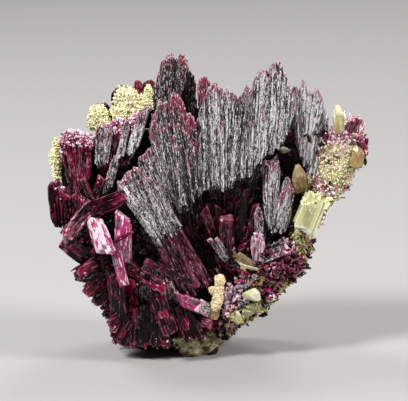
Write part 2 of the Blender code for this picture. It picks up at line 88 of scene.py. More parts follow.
def place_of(point):
    """The column and row at which a point shows from the display side."""
    row = GROUND_ROW - (point[2] * math.cos(VIEW_TILT) + point[1] * math.sin(VIEW_TILT)) / SQUARE
    return MIDDLE_COLUMN + point[0] / SQUARE, row


def rows_of(kind, table):
    """The rows of a table as one list, each with its node's name put first."""
    return [kind(node, *row) for node, rows in table.items() for row in rows]


# ---- the drawn pieces; thicknesses, widths, depths and sizes are in millimetres ----

# look, thickness, the depths of the left tip, right tip, left foot and right foot, and the
# tips and the feet from left to right
FANS = rows_of(Fan, {
    "centre_fan": [
        ("silver", 2.0, (0.5, 0.5, -4.5, -4.5),
         [(196, 121), (198, 116), (202, 104), (206, 90), (210, 83), (215, 82), (221, 88),
          (226, 96)],
         [(199, 198), (205, 193), (213, 190), (225, 192)]),
        ("silver", 2.0, (1.5, 1.5, -3.6, -3.4),
         [(223, 92), (228, 87), (233, 93), (238, 96), (242, 92), (246, 84), (250, 87), (257, 100)],
         [(220, 190), (228, 194), (236, 185), (250, 176)]),
        ("bright", 2.2, (0.2, 1.0, -4.2, -1.5),
         [(251, 88), (254, 77), (259, 69), (264, 66), (268, 71), (271, 64), (275, 60), (281, 63),
          (284, 71), (288, 82), (292, 92), (295, 107)],
         [(242, 182), (250, 176), (258, 166), (270, 156), (281, 149), (291, 123)]),
        ("rosy", 1.6, (2.2, 2.2, 1, 1),
         [(197, 82), (201, 75), (206, 75), (211, 84)],
         [(200, 132), (214, 132)]),
        ("shadow", 3.0, (2.4, 2.4, 4, 4),
         [(204, 112), (226, 106), (250, 104), (276, 96)],
         [(212, 240), (228, 244), (244, 240)]),
    ],
    "right_fan": [
        ("pearly", 2.2, (3, 4, 1.4, 0.8),
         [(290, 92), (295, 84), (299, 90), (303, 78), (308, 87), (312, 93), (317, 86), (321, 92),
          (324, 105), (328, 116), (329, 127), (326, 143)],
         [(296, 146), (303, 168), (313, 180), (323, 172)]),
    ],
    "left_centre_fan": [
        ("plum", 2.2, (-3, -2, -6.4, -5.6),
         [(149, 134), (151, 122), (155, 109), (159, 98), (163, 103), (167, 99), (171, 108),
          (177, 121), (184, 129), (190, 136), (195, 147)],
         [(163, 187), (172, 201), (181, 218), (189, 216), (193, 204), (197, 188)]),
        ("silver", 1.8, (-4.6, -4, -6, -6),
         [(137, 161), (140, 155), (146, 150), (152, 146)],
         [(158, 202), (176, 213)]),
        ("rosy", 1.8, (-0.6, -0.6, -2.4, -2.4),
         [(169, 100), (173, 91), (178, 94), (183, 101), (187, 113)],
         [(174, 155), (192, 155)]),
        ("rosy", 1.4, (-1.4, -1.4, -3, -3),
         [(186, 116), (190, 111), (194, 118), (196, 129)],
         [(187, 165), (197, 165)]),
        ("shadow", 2.6, (-1, -1, 3, 3),
         [(158, 130), (176, 126), (192, 134)],
         [(182, 236), (208, 236)]),
    ],
    "rear_tall_blade": [
        ("plum", 2.4, (4.4, 4, 5, 4),
         [(153, 98), (157, 76), (163, 57), (168, 54), (173, 52), (177, 57), (181, 53), (186, 57),
          (190, 64)],
         [(150, 152), (172, 152)]),
        ("shadow", 1.6, (4.4, 8.4, 4.4, 8.4),
         [(189, 62), (192, 74), (194, 86), (197, 98)],
         [(172, 152), (198, 152)]),
    ],
    "rear_red_plates": [
        ("wine", 1.6, (7, 7, 7.6, 7.6),
         [(133, 83), (136, 79), (142, 79), (149, 80), (156, 79)],
         [(130, 150), (154, 150)]),
        ("wine", 1.6, (6.4, 6.4, 7, 7),
         [(110, 94), (115, 87), (121, 83), (127, 86), (134, 92)],
         [(118, 150), (140, 150)]),
        ("wine", 1.6, (5.6, 5.6, 6, 6),
         [(91, 110), (97, 101), (103, 100), (110, 106)],
         [(102, 150), (124, 150)]),
    ],
    "rear_fans": [
        ("rosy", 2.0, (6.6, 6.6, 8, 8),
         [(200, 88), (207, 80), (213, 90), (224, 97), (234, 102), (247, 98), (258, 88)],
         [(206, 175), (262, 175)]),
        ("plum", 2.0, (6.2, 6.6, 8, 8),
         [(256, 90), (266, 80), (274, 84), (284, 92), (296, 99), (306, 104)],
         [(250, 175), (288, 175)]),
    ],
    "front_left_blade": [
        ("silver", 2.2, (-9, -8.2, -9.6, -9.2),
         [(117, 188), (119, 180), (124, 177), (129, 172), (134, 167), (139, 168), (144, 174),
          (151, 176), (155, 183), (160, 187), (164, 195)],
         [(160, 250), (164, 241), (170, 237), (177, 234), (184, 229)]),
        ("streaked", 2.4, (-7.8, -7, -3.6, -2.6),
         [(130, 198), (150, 190), (168, 206)],
         [(187, 303), (197, 298), (206, 292), (214, 284)]),
    ],
    "right_front_blades": [
        ("silver", 1.7, (-2.2, -2.2, -3, -3),
         [(261, 166), (265, 159), (270, 160), (277, 154), (280, 170)],
         [(265, 222), (269, 234), (278, 234)]),
        ("silver", 1.7, (-3, -3, -3.6, -3.6),
         [(278, 195), (284, 187), (290, 181), (295, 191)],
         [(271, 228), (279, 235), (287, 231)]),
        ("bright", 1.2, (-1.8, -1.8, -2.6, -2.6),
         [(281, 186), (286, 175), (291, 178)],
         [(277, 212), (286, 212)]),
        ("shadow", 2.0, (-2, -2, 3.4, 3.4),
         [(264, 192), (286, 196)],
         [(254, 256), (272, 256)]),
    ],
    "lilac_blades": [
        ("pale", 1.4, (-4.4, -4.4, -2.2, -2.2),
         [(250, 240), (253, 234), (257, 230), (261, 232), (266, 240)],
         [(253, 263), (260, 266)]),
        ("silver", 1.0, (-3.4, -3.4, -2.4, -2.4),
         [(254, 212), (257, 205), (261, 208), (263, 214)],
         [(256, 250), (263, 250)]),
    ],
    "grey_ribbed_plate": [
        ("plum", 2.0, (-8.4, -7.8, -6, -6),
         [(140, 267), (150, 263), (162, 268), (172, 280), (181, 295)],
         [(140, 300), (160, 306), (178, 318)]),
    ],
    "pink_tabular_crystal": [
        ("pink", 2.6, (-15, -13.6, -15.4, -14),
         [(88, 216), (103, 216)],
         [(100, 254), (119, 255)]),
    ],
    "lower_left_fan": [
        ("wine", 2.4, (-10.4, -11, -11, -10),
         [(71, 272), (74, 279), (83, 285)],
         [(98, 255), (104, 264), (110, 272)]),
        ("wine", 2.0, (-7.6, -8.4, -8.6, -8),
         [(80, 288), (84, 294), (90, 301), (97, 309)],
         [(104, 268), (112, 276), (118, 290)]),
    ],
    "shell_plate": [
        ("smooth", 1.4, (-10.6, -11.8, -10.2, -11.4),
         [(108, 278), (113, 272), (124, 274)],
         [(112, 312), (119, 320), (127, 319)]),
        ("smooth", 1.4, (-11.7, -8, -11.3, -7.8),
         [(119, 273), (128, 276), (137, 279)],
         [(122, 320), (130, 317), (138, 311)]),
    ],
    "bottom_plates": [
        ("wine", 2.0, (-7.4, -8, -8, -8),
         [(105, 319), (108, 333), (112, 343), (126, 346), (134, 350)],
         [(124, 308), (134, 312), (142, 318)]),
        ("wine", 2.2, (-8.4, -8.4, -9.4, -9),
         [(128, 348), (140, 350), (152, 347), (162, 349), (171, 351)],
         [(134, 303), (150, 298), (166, 306)]),
    ],
    "left_cup_bundle": [
        ("sugared", 4.4, (-2.4, -3.4, -5, -5),
         [(61, 141), (64, 134), (70, 130), (78, 131), (87, 134), (95, 138)],
         [(72, 192), (82, 196), (92, 182)]),
    ],
    "left_upright_blades": [
        ("silver", 2.2, (-4, -4, -5.6, -5.4),
         [(97, 131), (99, 124), (105, 121), (111, 124), (114, 132)],
         [(96, 167), (101, 171), (109, 164)]),
        ("sugared", 2.8, (-1.4, -1.4, -3.6, -3.6),
         [(112, 123), (119, 118), (127, 120), (134, 116), (140, 112)],
         [(100, 176), (128, 172)]),
        ("silver", 1.6, (-2.6, -2, -4.2, -4.2),
         [(138, 114), (144, 108), (149, 104), (153, 103)],
         [(126, 156), (132, 159), (138, 152)]),
        ("silver", 1.4, (-2.6, -2.6, -4.2, -4.2),
         [(125, 123), (129, 117), (132, 119)],
         [(116, 161), (121, 163), (124, 158)]),
    ],
    "left_grey_lath": [
        ("bright", 1.5, (-6.6, -6.6, -7.8, -7.6),
         [(107, 176), (111, 166), (116, 155), (120, 160)],
         [(104, 197), (108, 194), (114, 188)]),
    ],
    "left_dark_bundle": [
        ("dark", 3.6, (-3, -7.4, -5, -8.2),
         [(50, 183), (56, 179), (63, 185), (72, 190), (82, 193), (90, 199)],
         [(55, 223), (62, 230), (75, 226), (90, 216)]),
    ],
    "corner_wine_blades": [
        ("corner", 2.6, (-0.6, -0.6, -2, -2),
         [(344, 126), (349, 114), (354, 117), (359, 115), (364, 124)],
         [(338, 142), (350, 148), (360, 146)]),
    ],
})  # fmt: skip

# look, width, thickness, start and end
PRISMS = rows_of(Prism, {
    "hollow_crystals": [
        ("wine", 2.4, 1.8, (222, 262, 2.6), (203, 208, -1.6)),
        ("glint", 3.6, 2.4, (226, 266, 2.6), (226, 217, -0.8)),
        ("glassy", 1.6, 1.0, (223, 264, 3.2), (218, 206, 0.8)),
        ("glassy", 1.4, 1.0, (228, 264, 3.2), (230, 204, 0.8)),
        ("glassy", 1.2, 1.0, (234, 264, 3.4), (238, 200, 1.0)),
        ("glassy", 1.8, 1.4, (236, 264, 3.2), (246, 188, 0)),
        ("glassy", 1.8, 1.2, (244, 266, 3.2), (256, 205, -1.6)),
        ("plum", 1.2, 0.6, (226, 261, -0.6), (209, 239, -2.4)),
        ("silver", 1.0, 0.5, (229, 258, -0.6), (216, 238, -2.6)),
    ],
    "long_wine_lath": [("wine", 1.6, 1.4, (196, 286, -6.4), (146, 260, -10.2))],
    "glassy_dark_crystal": [("glassy", 3.4, 3.0, (92, 209, -11.6), (126, 196, -9))],
    "upper_wine_prism": [("crimson", 3.2, 2.6, (94, 203, -9), (68, 237, -11.4))],
    "purple_prism": [
        ("violet", 3.6, 3.0, (124, 264, -11.6), (124, 214, -11.2)),
        ("violet", 2.2, 1.8, (117, 250, -12.8), (126, 284, -13.4)),
        ("wine", 0.7, 0.6, (115, 242, -13.4), (134, 231, -13.2)),
    ],
    "low_left_prism": [("glassy", 3.8, 3.0, (87, 258, -8.6), (66, 242, -10.4))],
    "long_wine_prism": [("wine", 2.6, 2.6, (121, 261, -12), (166, 288, -12.6))],
    "steep_wine_prism": [("wine", 3.6, 2.4, (156, 290, -11.4), (172, 332, -12))],
    "bottom_prisms": [
        ("wine", 2.6, 2.2, (175, 302, -9), (192, 339, -10)),
        ("wine", 2.0, 1.8, (184, 304, -8.6), (202, 336, -9)),
    ],
    "magenta_crystal": [
        ("magenta", 2.8, 2.3, (206, 309, -7.4), (180, 299, -10.4)),
        ("bright", 3.0, 2.5, (211, 311, -7.2), (197, 304.5, -9.4)),
    ],
    "magenta_wedge": [("wine", 2.8, 2.2, (190, 316, -7), (212, 324, -8.4))],
    "left_dark_bundle": [
        ("dark", 3.0, 2.0, (70, 200, -3.4), (67, 158, -0.2)),
        ("dark", 1.6, 1.4, (76, 196, -5.6), (74, 172, -4.6)),
    ],
    "purple_pair": [
        ("wine", 1.6, 1.4, (95, 203, -8.8), (84, 179, -9.2)),
        ("wine", 1.8, 1.4, (94, 202, -8.6), (103, 177, -8.2)),
    ],
    "calcite_point": [("honey", 2.8, 2.4, (341, 134, 0), (338, 106, 1.4))],
    "calcite_block": [("clear", 5.4, 4.0, (318, 194, -4.6), (303, 231, -5.6))],
    "amber_calcite": [("amber", 3.0, 2.4, (301, 190, -1.6), (297, 166, -3.6))],
    "cream_column": [("amber", 1.9, 1.7, (214, 318, -8), (216.5, 299, -8.3))],
})  # fmt: skip

# middle, and width, height and thickness
CRUSTS = rows_of(Lump, {
    "cream_crust_top": [
        ((127, 102, 2.8), (5.8, 6.2, 2.8)),
        ((137, 111, 2.8), (4.2, 3.6, 2.6)),
        ((120, 113, 2.4), (4.0, 3.6, 2.6)),
        ((145, 103, 3.2), (3.4, 4.2, 2.4)),
        ((149, 92, 3.2), (2.0, 3.0, 2.0)),
        ((99, 114, 2.2), (4.4, 3.6, 2.6)),
        ((94, 122, 2.2), (3.0, 3.6, 2.4)),
        ((103, 123, 2.2), (3.6, 3.4, 2.6)),
    ],
    "cream_column": [
        ((219.5, 280, -9.2), (2.2, 2.6, 2.0)),
        ((219, 289, -9.0), (2.1, 3.2, 2.0)),
        ((212.5, 289.5, -8.8), (1.5, 1.7, 1.5)),
        ((217.5, 297, -8.9), (2.3, 3.6, 2.2)),
        ((216, 304, -8.7), (2.1, 2.8, 2.1)),
    ],
    "cream_crust_left": [
        ((58, 147, -1.4), (1.9, 4.0, 2.4)),
        ((56, 158, -1.4), (2.4, 4.4, 2.8)),
        ((58, 171, -1.4), (1.9, 4.6, 2.4)),
    ],
})  # fmt: skip

# layers, blade widths, silver (how much painted sheen and highlight an erythrite look gets, and
# how amber a calcite one is), blush at the ends in mm, laths and sugar grains per mm, how much
# shorter the front blades may be, and the height of the striae in mm
LOOKS = {name: Look(slot, *row) for slot, looks in {
    "silvery_erythrite": {
        # the more silver, the more painted sheen: the two brighter looks are lit copies of silver,
        # and shadow is its shaded copy
        "silver": (4, (1.5, 3.4), 0.8, 1.5, 3.6, 0, 0.35, 0.2),
        "bright": (4, (1.5, 3.4), 0.9, 1.1, 3.6, 0, 0.35, 0.2),
        "pearly": (4, (1.5, 3.4), 1.15, 1.1, 3.6, 0, 0.35, 0.2),
        "plum": (4, (1.5, 3.2), 0.5, 1.6, 3.6, 0, 0.4, 0.2),
        "rosy": (3, (1.2, 2.4), 0.5, 3.4, 3.2, 1, 0.3, 0.2),
        "shadow": (3, (1.5, 3.0), 0.0, 0.3, 3.0, 0, 0.3, 0.2),
    },
    "wine_erythrite": {
        "throat": (4, (1.2, 2.6), 0.45, 0.2, 4.0, 0, 0.5, 0.14),
        "wine": (3, (1.8, 4.0), 0.5, 0.5, 1.2, 1, 0.25, 0.09),
        "dark": (3, (1.8, 4.0), 0.1, 0.4, 1.2, 2, 0.2, 0.08),
        "glassy": (3, (2.4, 5.0), 0.1, 0.2, 1.0, 0, 0.12, 0.06),
        "glint": (3, (2.4, 5.0), 1.3, 0.8, 1.0, 0, 0.12, 0.06),
        "chip": (3, (2.4, 5.0), 0.3, 0.3, 1.0, 0, 0.12, 0.06),
        "streaked": (4, (1.2, 2.6), 1.3, 0.6, 4.0, 0, 0.4, 0.14),
        "crimson": (3, (2.4, 5.0), 1.5, 0.9, 1.0, 0, 0.12, 0.06),
        "smooth": (1, (9.0, 9.9), 0.2, 0.3, 0.5, 0, 0.02, 0.04),
        "corner": (3, (1.4, 2.6), 2.2, 1.2, 1.2, 9, 0.3, 0.08),
        "sugared": (4, (1.2, 2.6), 0.9, 1.4, 2.4, 110, 0.2, 0.16),
    },
    "pink_erythrite": {
        "violet": (3, (1.0, 2.0), 0.35, 0.6, 2.0, 2, 0.3, 0.1),
        "magenta": (3, (1.0, 2.0), 0.2, 0.6, 2.0, 2, 0.3, 0.1),
        "pale": (3, (0.9, 1.8), 1.1, 0.6, 3.0, 2, 0.3, 0.14),
        "pink": (2, (3.0, 4.0), 0.8, 0.3, 0.6, 0, 0.04, 0.06),
    },
    "honey_calcite": {
        "clear": (1, (3.0, 4.0), 0.0, 0.0, 0, 0, 0, 0),
        "honey": (1, (3.0, 4.0), 0.4, 0.0, 0, 0, 0, 0),
        "amber": (1, (3.0, 4.0), 1.0, 0.0, 0, 0, 0, 0),
    },
    "cream_crust": {
        "cream": (1, (1.0, 1.0), 0.5, 0.5, 0, 0, 0, 0),
    },
}.items() for name, row in looks.items()}  # fmt: skip

# what the grains and small crystals on the rock look like
GROWTH = {
    "cream": LOOKS["cream"],
    "honey": LOOKS["honey"]._replace(silver=0.6, blush=0.4),
    "pink": LOOKS["pink"]._replace(blush=0.5),
    "wine": LOOKS["wine"]._replace(blush=0.4),
}

SPRAY_ROOT = (212, 262)  # the place that the blades fan out from
RIM_LINE = [
    (352, 140), (318, 213), (288, 270), (236, 312), (186, 336), (136, 318), (108, 280), (96, 240),
    (92, 226),
]  # fmt: skip
RIM_REACH = 30  # squares over which the rim falls away into the dish
DISH_DEPTH = 2.6  # millimetres, the depth of the dish's floor
RIM_DEPTH = -7.0  # millimetres, the depth of the rim's crest at its middle
RIM_MIDDLE = 215  # the column of the rim's middle
RIM_SLANT = 2.2  # millimetres deeper, per 100 columns to the right

# outlines of the parts of the rock's front; a point is on the first one that it lies in
FRONT_PARTS = {
    "upper": [
        (338, 118), (370, 138), (354, 176), (340, 200), (318, 238), (290, 240), (288, 204),
        (306, 176),
    ],
    "foot": [(172, 338), (212, 330), (222, 344), (206, 356), (178, 358)],
    "lower": [
        (286, 236), (318, 234), (302, 278), (270, 308), (243, 328), (212, 344), (204, 322),
        (222, 296), (246, 272),
    ],
    "throat": [
        (150, 262), (160, 240), (190, 214), (204, 200), (250, 188), (262, 210), (276, 236),
        (282, 262), (256, 282), (226, 302), (204, 312), (176, 304),
    ],
}  # fmt: skip
BACK_TURN = 0.25  # the rock counts as its back where it faces backwards by about this much

# for each part of the rock: how wine red it is (the most wine red turns nearly black, in the dish
# partly as painted shade), how much grows on it, and what grows
ROCK_PARTS = {
    "upper": (0.12, 1.0, {"wine": 0.2, "cream": 0.5, "pink": 0.18, "honey": 0.12}),
    "foot": (0.12, 0.9, {"cream": 0.34, "honey": 0.54, "wine": 0.12}),
    "lower": (0.7, 0.7, {"wine": 0.62, "pink": 0.1, "honey": 0.22, "cream": 0.06}),
    "throat": (1.0, 0.16, {"wine": 1.0}),
    "back": (0.28, 0.5, {"cream": 0.3, "honey": 0.1, "pink": 0.12, "wine": 0.48}),
    "left": (1.0, 0.5, {"wine": 0.9, "pink": 0.1}),
}
# how many times as long and as wide the small crystals of a part are drawn
STUB_SIZES = {"left": (1.5, 1.5), "throat": (1.9, 1)}
USUAL_STUB = (1.0, 1.1)

# crystals that stand on the rock; each place gives how far it stands out in place of a depth
STANDING = rows_of(Prism, {"matrix": [
    ("pale", 1.3, 0.9, (234, 264, 0), (225, 243, 2.2)),
    ("pale", 1.0, 0.8, (236, 263, 0.2), (233, 248, 2.0)),
    ("amber", 1.2, 0.9, (253, 268, 0.3), (234, 254, 1.4)),
    ("honey", 0.8, 0.6, (256, 266, 0.6), (239, 253, 1.8)),
    ("honey", 0.7, 0.6, (250, 272, 0.4), (235, 259, 1.4)),
    ("honey", 2.4, 1.6, (242, 269, 1.0), (264, 275, 1.6)),
    ("clear", 1.8, 1.2, (246, 278, 0.6), (264, 279, 1.4)),
    ("bright", 1.6, 1.2, (239, 273, 0.2), (233, 265, 1.2)),
    ("silver", 1.5, 0.8, (262, 257, 2.4), (286, 246, 4.6)),
    ("plum", 1.4, 0.8, (262, 254, 2.6), (287, 241, 4.8)),
    ("silver", 0.8, 0.6, (264, 252, 2.8), (284, 238, 4.8)),
    ("plum", 1.1, 0.7, (264, 260, 2.2), (285, 251, 4.4)),
    ("pale", 0.6, 0.5, (271, 272, 0.2), (263, 258, 1.4)),
    ("violet", 0.7, 0.5, (276, 274, 0.2), (268, 260, 1.4)),
    ("bright", 1.1, 0.7, (240, 304, 0.2), (237, 286, 1.0)),
]})  # fmt: skip

# groups of small crystals: look, place, reach in squares, how many, and their lengths
PATCHES = [Patch(*row) for row in (
    ("pale", (231, 296), (8, 10), 60, (1.0, 2.4)),
    ("pink", (230, 301), (8, 9), 30, (1.0, 2.2)),
    ("pink", (226, 314), (7, 5), 20, (0.8, 1.6)),
    ("violet", (272, 295), (9, 7), 34, (0.8, 1.9)),
    ("dark", (279, 267), (14, 8), 44, (2.1, 3.2)),
    ("chip", (279, 266), (14, 9), 70, (2.05, 3.0)),
    ("pale", (283, 264), (13, 9), 24, (0.8, 1.9)),
    ("pink", (282, 264), (12, 8), 20, (0.9, 1.9)),
    ("glint", (281, 264), (13, 9), 40, (1.3, 1.99)),
    ("magenta", (288, 262), (12, 12), 16, (1.0, 2.0)),
    ("violet", (290, 262), (10, 12), 20, (0.6, 1.4)),
    ("honey", (301, 248), (7, 12), 90, (0.5, 1.3)),
    ("honey", (288, 284), (15, 8), 110, (0.5, 1.4)),
    ("amber", (290, 274), (14, 12), 20, (0.6, 1.3)),
    ("dark", (262, 296), (14, 8), 14, (1.0, 2.0)),
    ("wine", (212, 322), (18, 8), 80, (1.0, 2.4)),
    ("magenta", (204, 320), (8, 6), 16, (1.0, 2.0)),
    ("pink", (288, 246), (8, 5), 20, (0.7, 1.5)),
    ("honey", (298, 238), (9, 4), 40, (0.5, 1.2)),
    ("honey", (250, 311), (22, 10), 80, (0.7, 1.6)),
    ("clear", (256, 308), (16, 8), 40, (0.7, 1.6)),
    ("honey", (230, 330), (9, 6), 40, (0.6, 1.3)),
    ("amber", (262, 283), (14, 5), 30, (0.6, 1.4)),
    ("violet", (250, 280), (12, 5), 16, (0.7, 1.6)),
    ("bright", (248, 282), (14, 5), 20, (0.9, 2.0)),
    ("bright", (246, 304), (8, 6), 12, (0.9, 1.8)),
    ("pale", (336, 135), (9, 8), 150, (0.4, 1.2)),
    ("pale", (344, 146), (7, 7), 40, (0.4, 1.0)),
    ("magenta", (338, 134), (11, 8), 24, (0.6, 1.4)),
    ("pale", (322, 190), (9, 9), 40, (0.3, 0.9)),
    ("cream", (334, 164), (14, 20), 300, (0.25, 0.6)),
    ("dark", (328, 162), (3, 3), 10, (0.4, 0.9)),
    ("violet", (322, 158), (6, 10), 26, (0.5, 1.2)),
    ("violet", (318, 182), (5, 8), 24, (0.5, 1.1)),
    ("corner", (361, 138), (6, 12), 24, (1.2, 2.6)),
    ("magenta", (361, 138), (6, 12), 24, (1.2, 2.6)),
    ("corner", (346, 126), (9, 6), 14, (1.2, 2.4)),
    ("magenta", (346, 126), (9, 6), 24, (1.0, 2.4)),
    ("corner", (358, 168), (5, 7), 20, (0.7, 1.5)),
    ("wine", (300, 200), (7, 14), 60, (0.6, 1.6)),
    ("honey", (286, 150), (6, 4), 8, (0.8, 1.6)),
    ("magenta", (294, 152), (3, 3), 8, (0.8, 1.4)),
)]  # fmt: skip

# facetted lumps that stand on the rock: look, place and size
PEBBLES = [
    ("clear", (285, 150, 0.9), (2.4, 1.8, 1.6)),
    ("corner", (294, 150, 0.9), (1.8, 2.0, 1.6)),
    ("clear", (253, 294, 1.3), (3.6, 3.0, 2.6)),
    ("honey", (236, 317, 0.5), (3.0, 2.2, 2.0)),
    ("honey", (246, 312, 0.7), (3.0, 2.4, 2.0)),
    ("honey", (256, 305, 0.6), (2.8, 2.4, 2.0)),
    ("clear", (270, 298, 0.5), (2.6, 2.2, 1.8)),
    ("honey", (280, 288, 0.4), (2.2, 2.0, 1.6)),
    ("honey", (229, 324, 0.4), (2.0, 1.6, 1.6)),
    ("amber", (355, 156, 1.0), (3.8, 4.2, 3.0)),
    ("honey", (348, 150, 0.6), (1.6, 1.8, 1.8)),
    ("clear", (266, 305, 0.2), (2.4, 1.8, 1.6)),
    ("honey", (242, 314, 0.3), (2.6, 2.2, 2.0)),
    ("clear", (237, 279, 0.4), (1.5, 1.6, 1.4)),
    ("honey", (192, 343, 0.2), (3.0, 2.0, 2.0)),
    ("honey", (205, 340, 0.2), (2.6, 2.2, 2.0)),
]


# ---- shapes ----


def along(points, share):
    """The place at that share of a drawn line's length."""
    places = [Vector(point) for point in points]
    lengths = [(b - a).length for a, b in zip(places, places[1:])]
    left = share * sum(lengths)
    for a, b, length in zip(places, places[1:], lengths):
        if left <= length:
            return a.lerp(b, left / length)
        left -= length
    return places[-1]


def line_length(points):
    """A drawn line's length in squares."""
    return sum((Vector(b) - Vector(a)).length for a, b in zip(points, points[1:]))


def fan_point(piece, u, t):
    """A point of a fan's sheet, u across it from the left and t up it from its feet."""
    left_tip, right_tip, left_foot, right_foot = piece.depths
    tip_depth = left_tip + (right_tip - left_tip) * u
    foot_depth = left_foot + (right_foot - left_foot) * u
    tip = spot(*along(piece.tips, u), tip_depth)
    foot = spot(*along(piece.feet, u), foot_depth)
    return foot.lerp(tip, t)


def fan_axes(piece):
    """(across, facing) of a fan's sheet."""
    across = (fan_point(piece, 1, 0.5) - fan_point(piece, 0, 0.5)).normalized()
    upward = (fan_point(piece, 0.5, 1) - fan_point(piece, 0.5, 0)).normalized()
    facing = across.cross(upward).normalized()
    return across, -facing if facing.y > 0 else facing


def prism_axes(piece):
    """(start, end, axis, facing, side) of a prism."""
    start, end = spot(*piece.start), spot(*piece.end)
    axis = (end - start).normalized()
    facing = Vector((0, -1, 0.2))
    facing = (facing - axis * facing.dot(axis)).normalized()
    return start, end, axis, facing, axis.cross(facing)


def half_of(size):
    """Half of a lump's width, thickness and height, along X, Y and Z."""
    width, height, thick = size
    return Vector((width, thick, height)) * MM / 2


def inside(place, outline):
    """Whether a (column, row) lies inside a drawn outline."""
    found = False
    for (ax, ay), (bx, by) in zip(outline, outline[1:] + outline[:1]):
        if (ay > place[1]) != (by > place[1]):
            if place[0] < ax + (place[1] - ay) / (by - ay) * (bx - ax):
                found = not found
    return found


def side_of(axis, rng):
    """A way square to an axis, turned round it at random."""
    return Matrix.Rotation(rng.uniform(0, math.tau), 3, axis) @ axis.orthogonal().normalized()


def quads(*corners):
    """Faces from arrays of their four corners."""
    return np.stack(corners, -1).reshape(-1, 4)


def ball(subdivisions):
    """The points and faces of a unit ball. Every face has its last corner twice."""
    bm = bmesh.new()
    bmesh.ops.create_icosphere(bm, subdivisions=subdivisions, radius=1)
    points = np.array([vertex.co[:] for vertex in bm.verts])
    faces = np.array([[vertex.index for vertex in face.verts] for face in bm.faces])
    bm.free()
    return points, np.concatenate([faces, faces[:, 2:]], 1)


def in_runs(count, run, draw):
    """Drawn numbers for a sheet's striae, the same one for each run of neighbours."""
    return np.repeat([draw() for _ in range(count // run + 1)], run)[:count]


BLADE = np.array([(-0.5, 0), (-0.3, 0.5), (0.3, 0.5), (0.5, 0), (0.3, -0.5), (-0.3, -0.5)])
BLOCK_SIDE = [(-0.5, 0.44), (-0.45, 0.5), (-0.4, 0.5), (0.4, 0.5)]
BLOCK = np.array(
    BLOCK_SIDE
    + [(y, -x) for x, y in BLOCK_SIDE]
    + [(-x, -y) for x, y in BLOCK_SIDE]
    + [(-y, x) for x, y in BLOCK_SIDE]
)
BLOCK_EDGES = np.array([1, 1, 0, 0] * 4)
GRAIN_BALL, LUMP_BALL = ball(1), ball(3)
STRIA_STEP = 0.19 * MM  # between the striae of a sheet
ROW_STEP = 1.1 * MM  # between a sheet's rows of points
NO_END = 9.0  # millimetres, the reach of a body that has no end
GRAIN_SHIFT = 400  # millimetres, how far the grain of one body may be shifted from another's
PRISM_SLABS = 8
PEBBLE_CUTS, CUT_DEPTH = 16, 0.55  # its facets, and how near the middle of a unit ball they lie
PEBBLE_GRAINS = 44
CRUST_GRAINS = 36  # for each square millimetre of its half sizes, multiplied in pairs and added


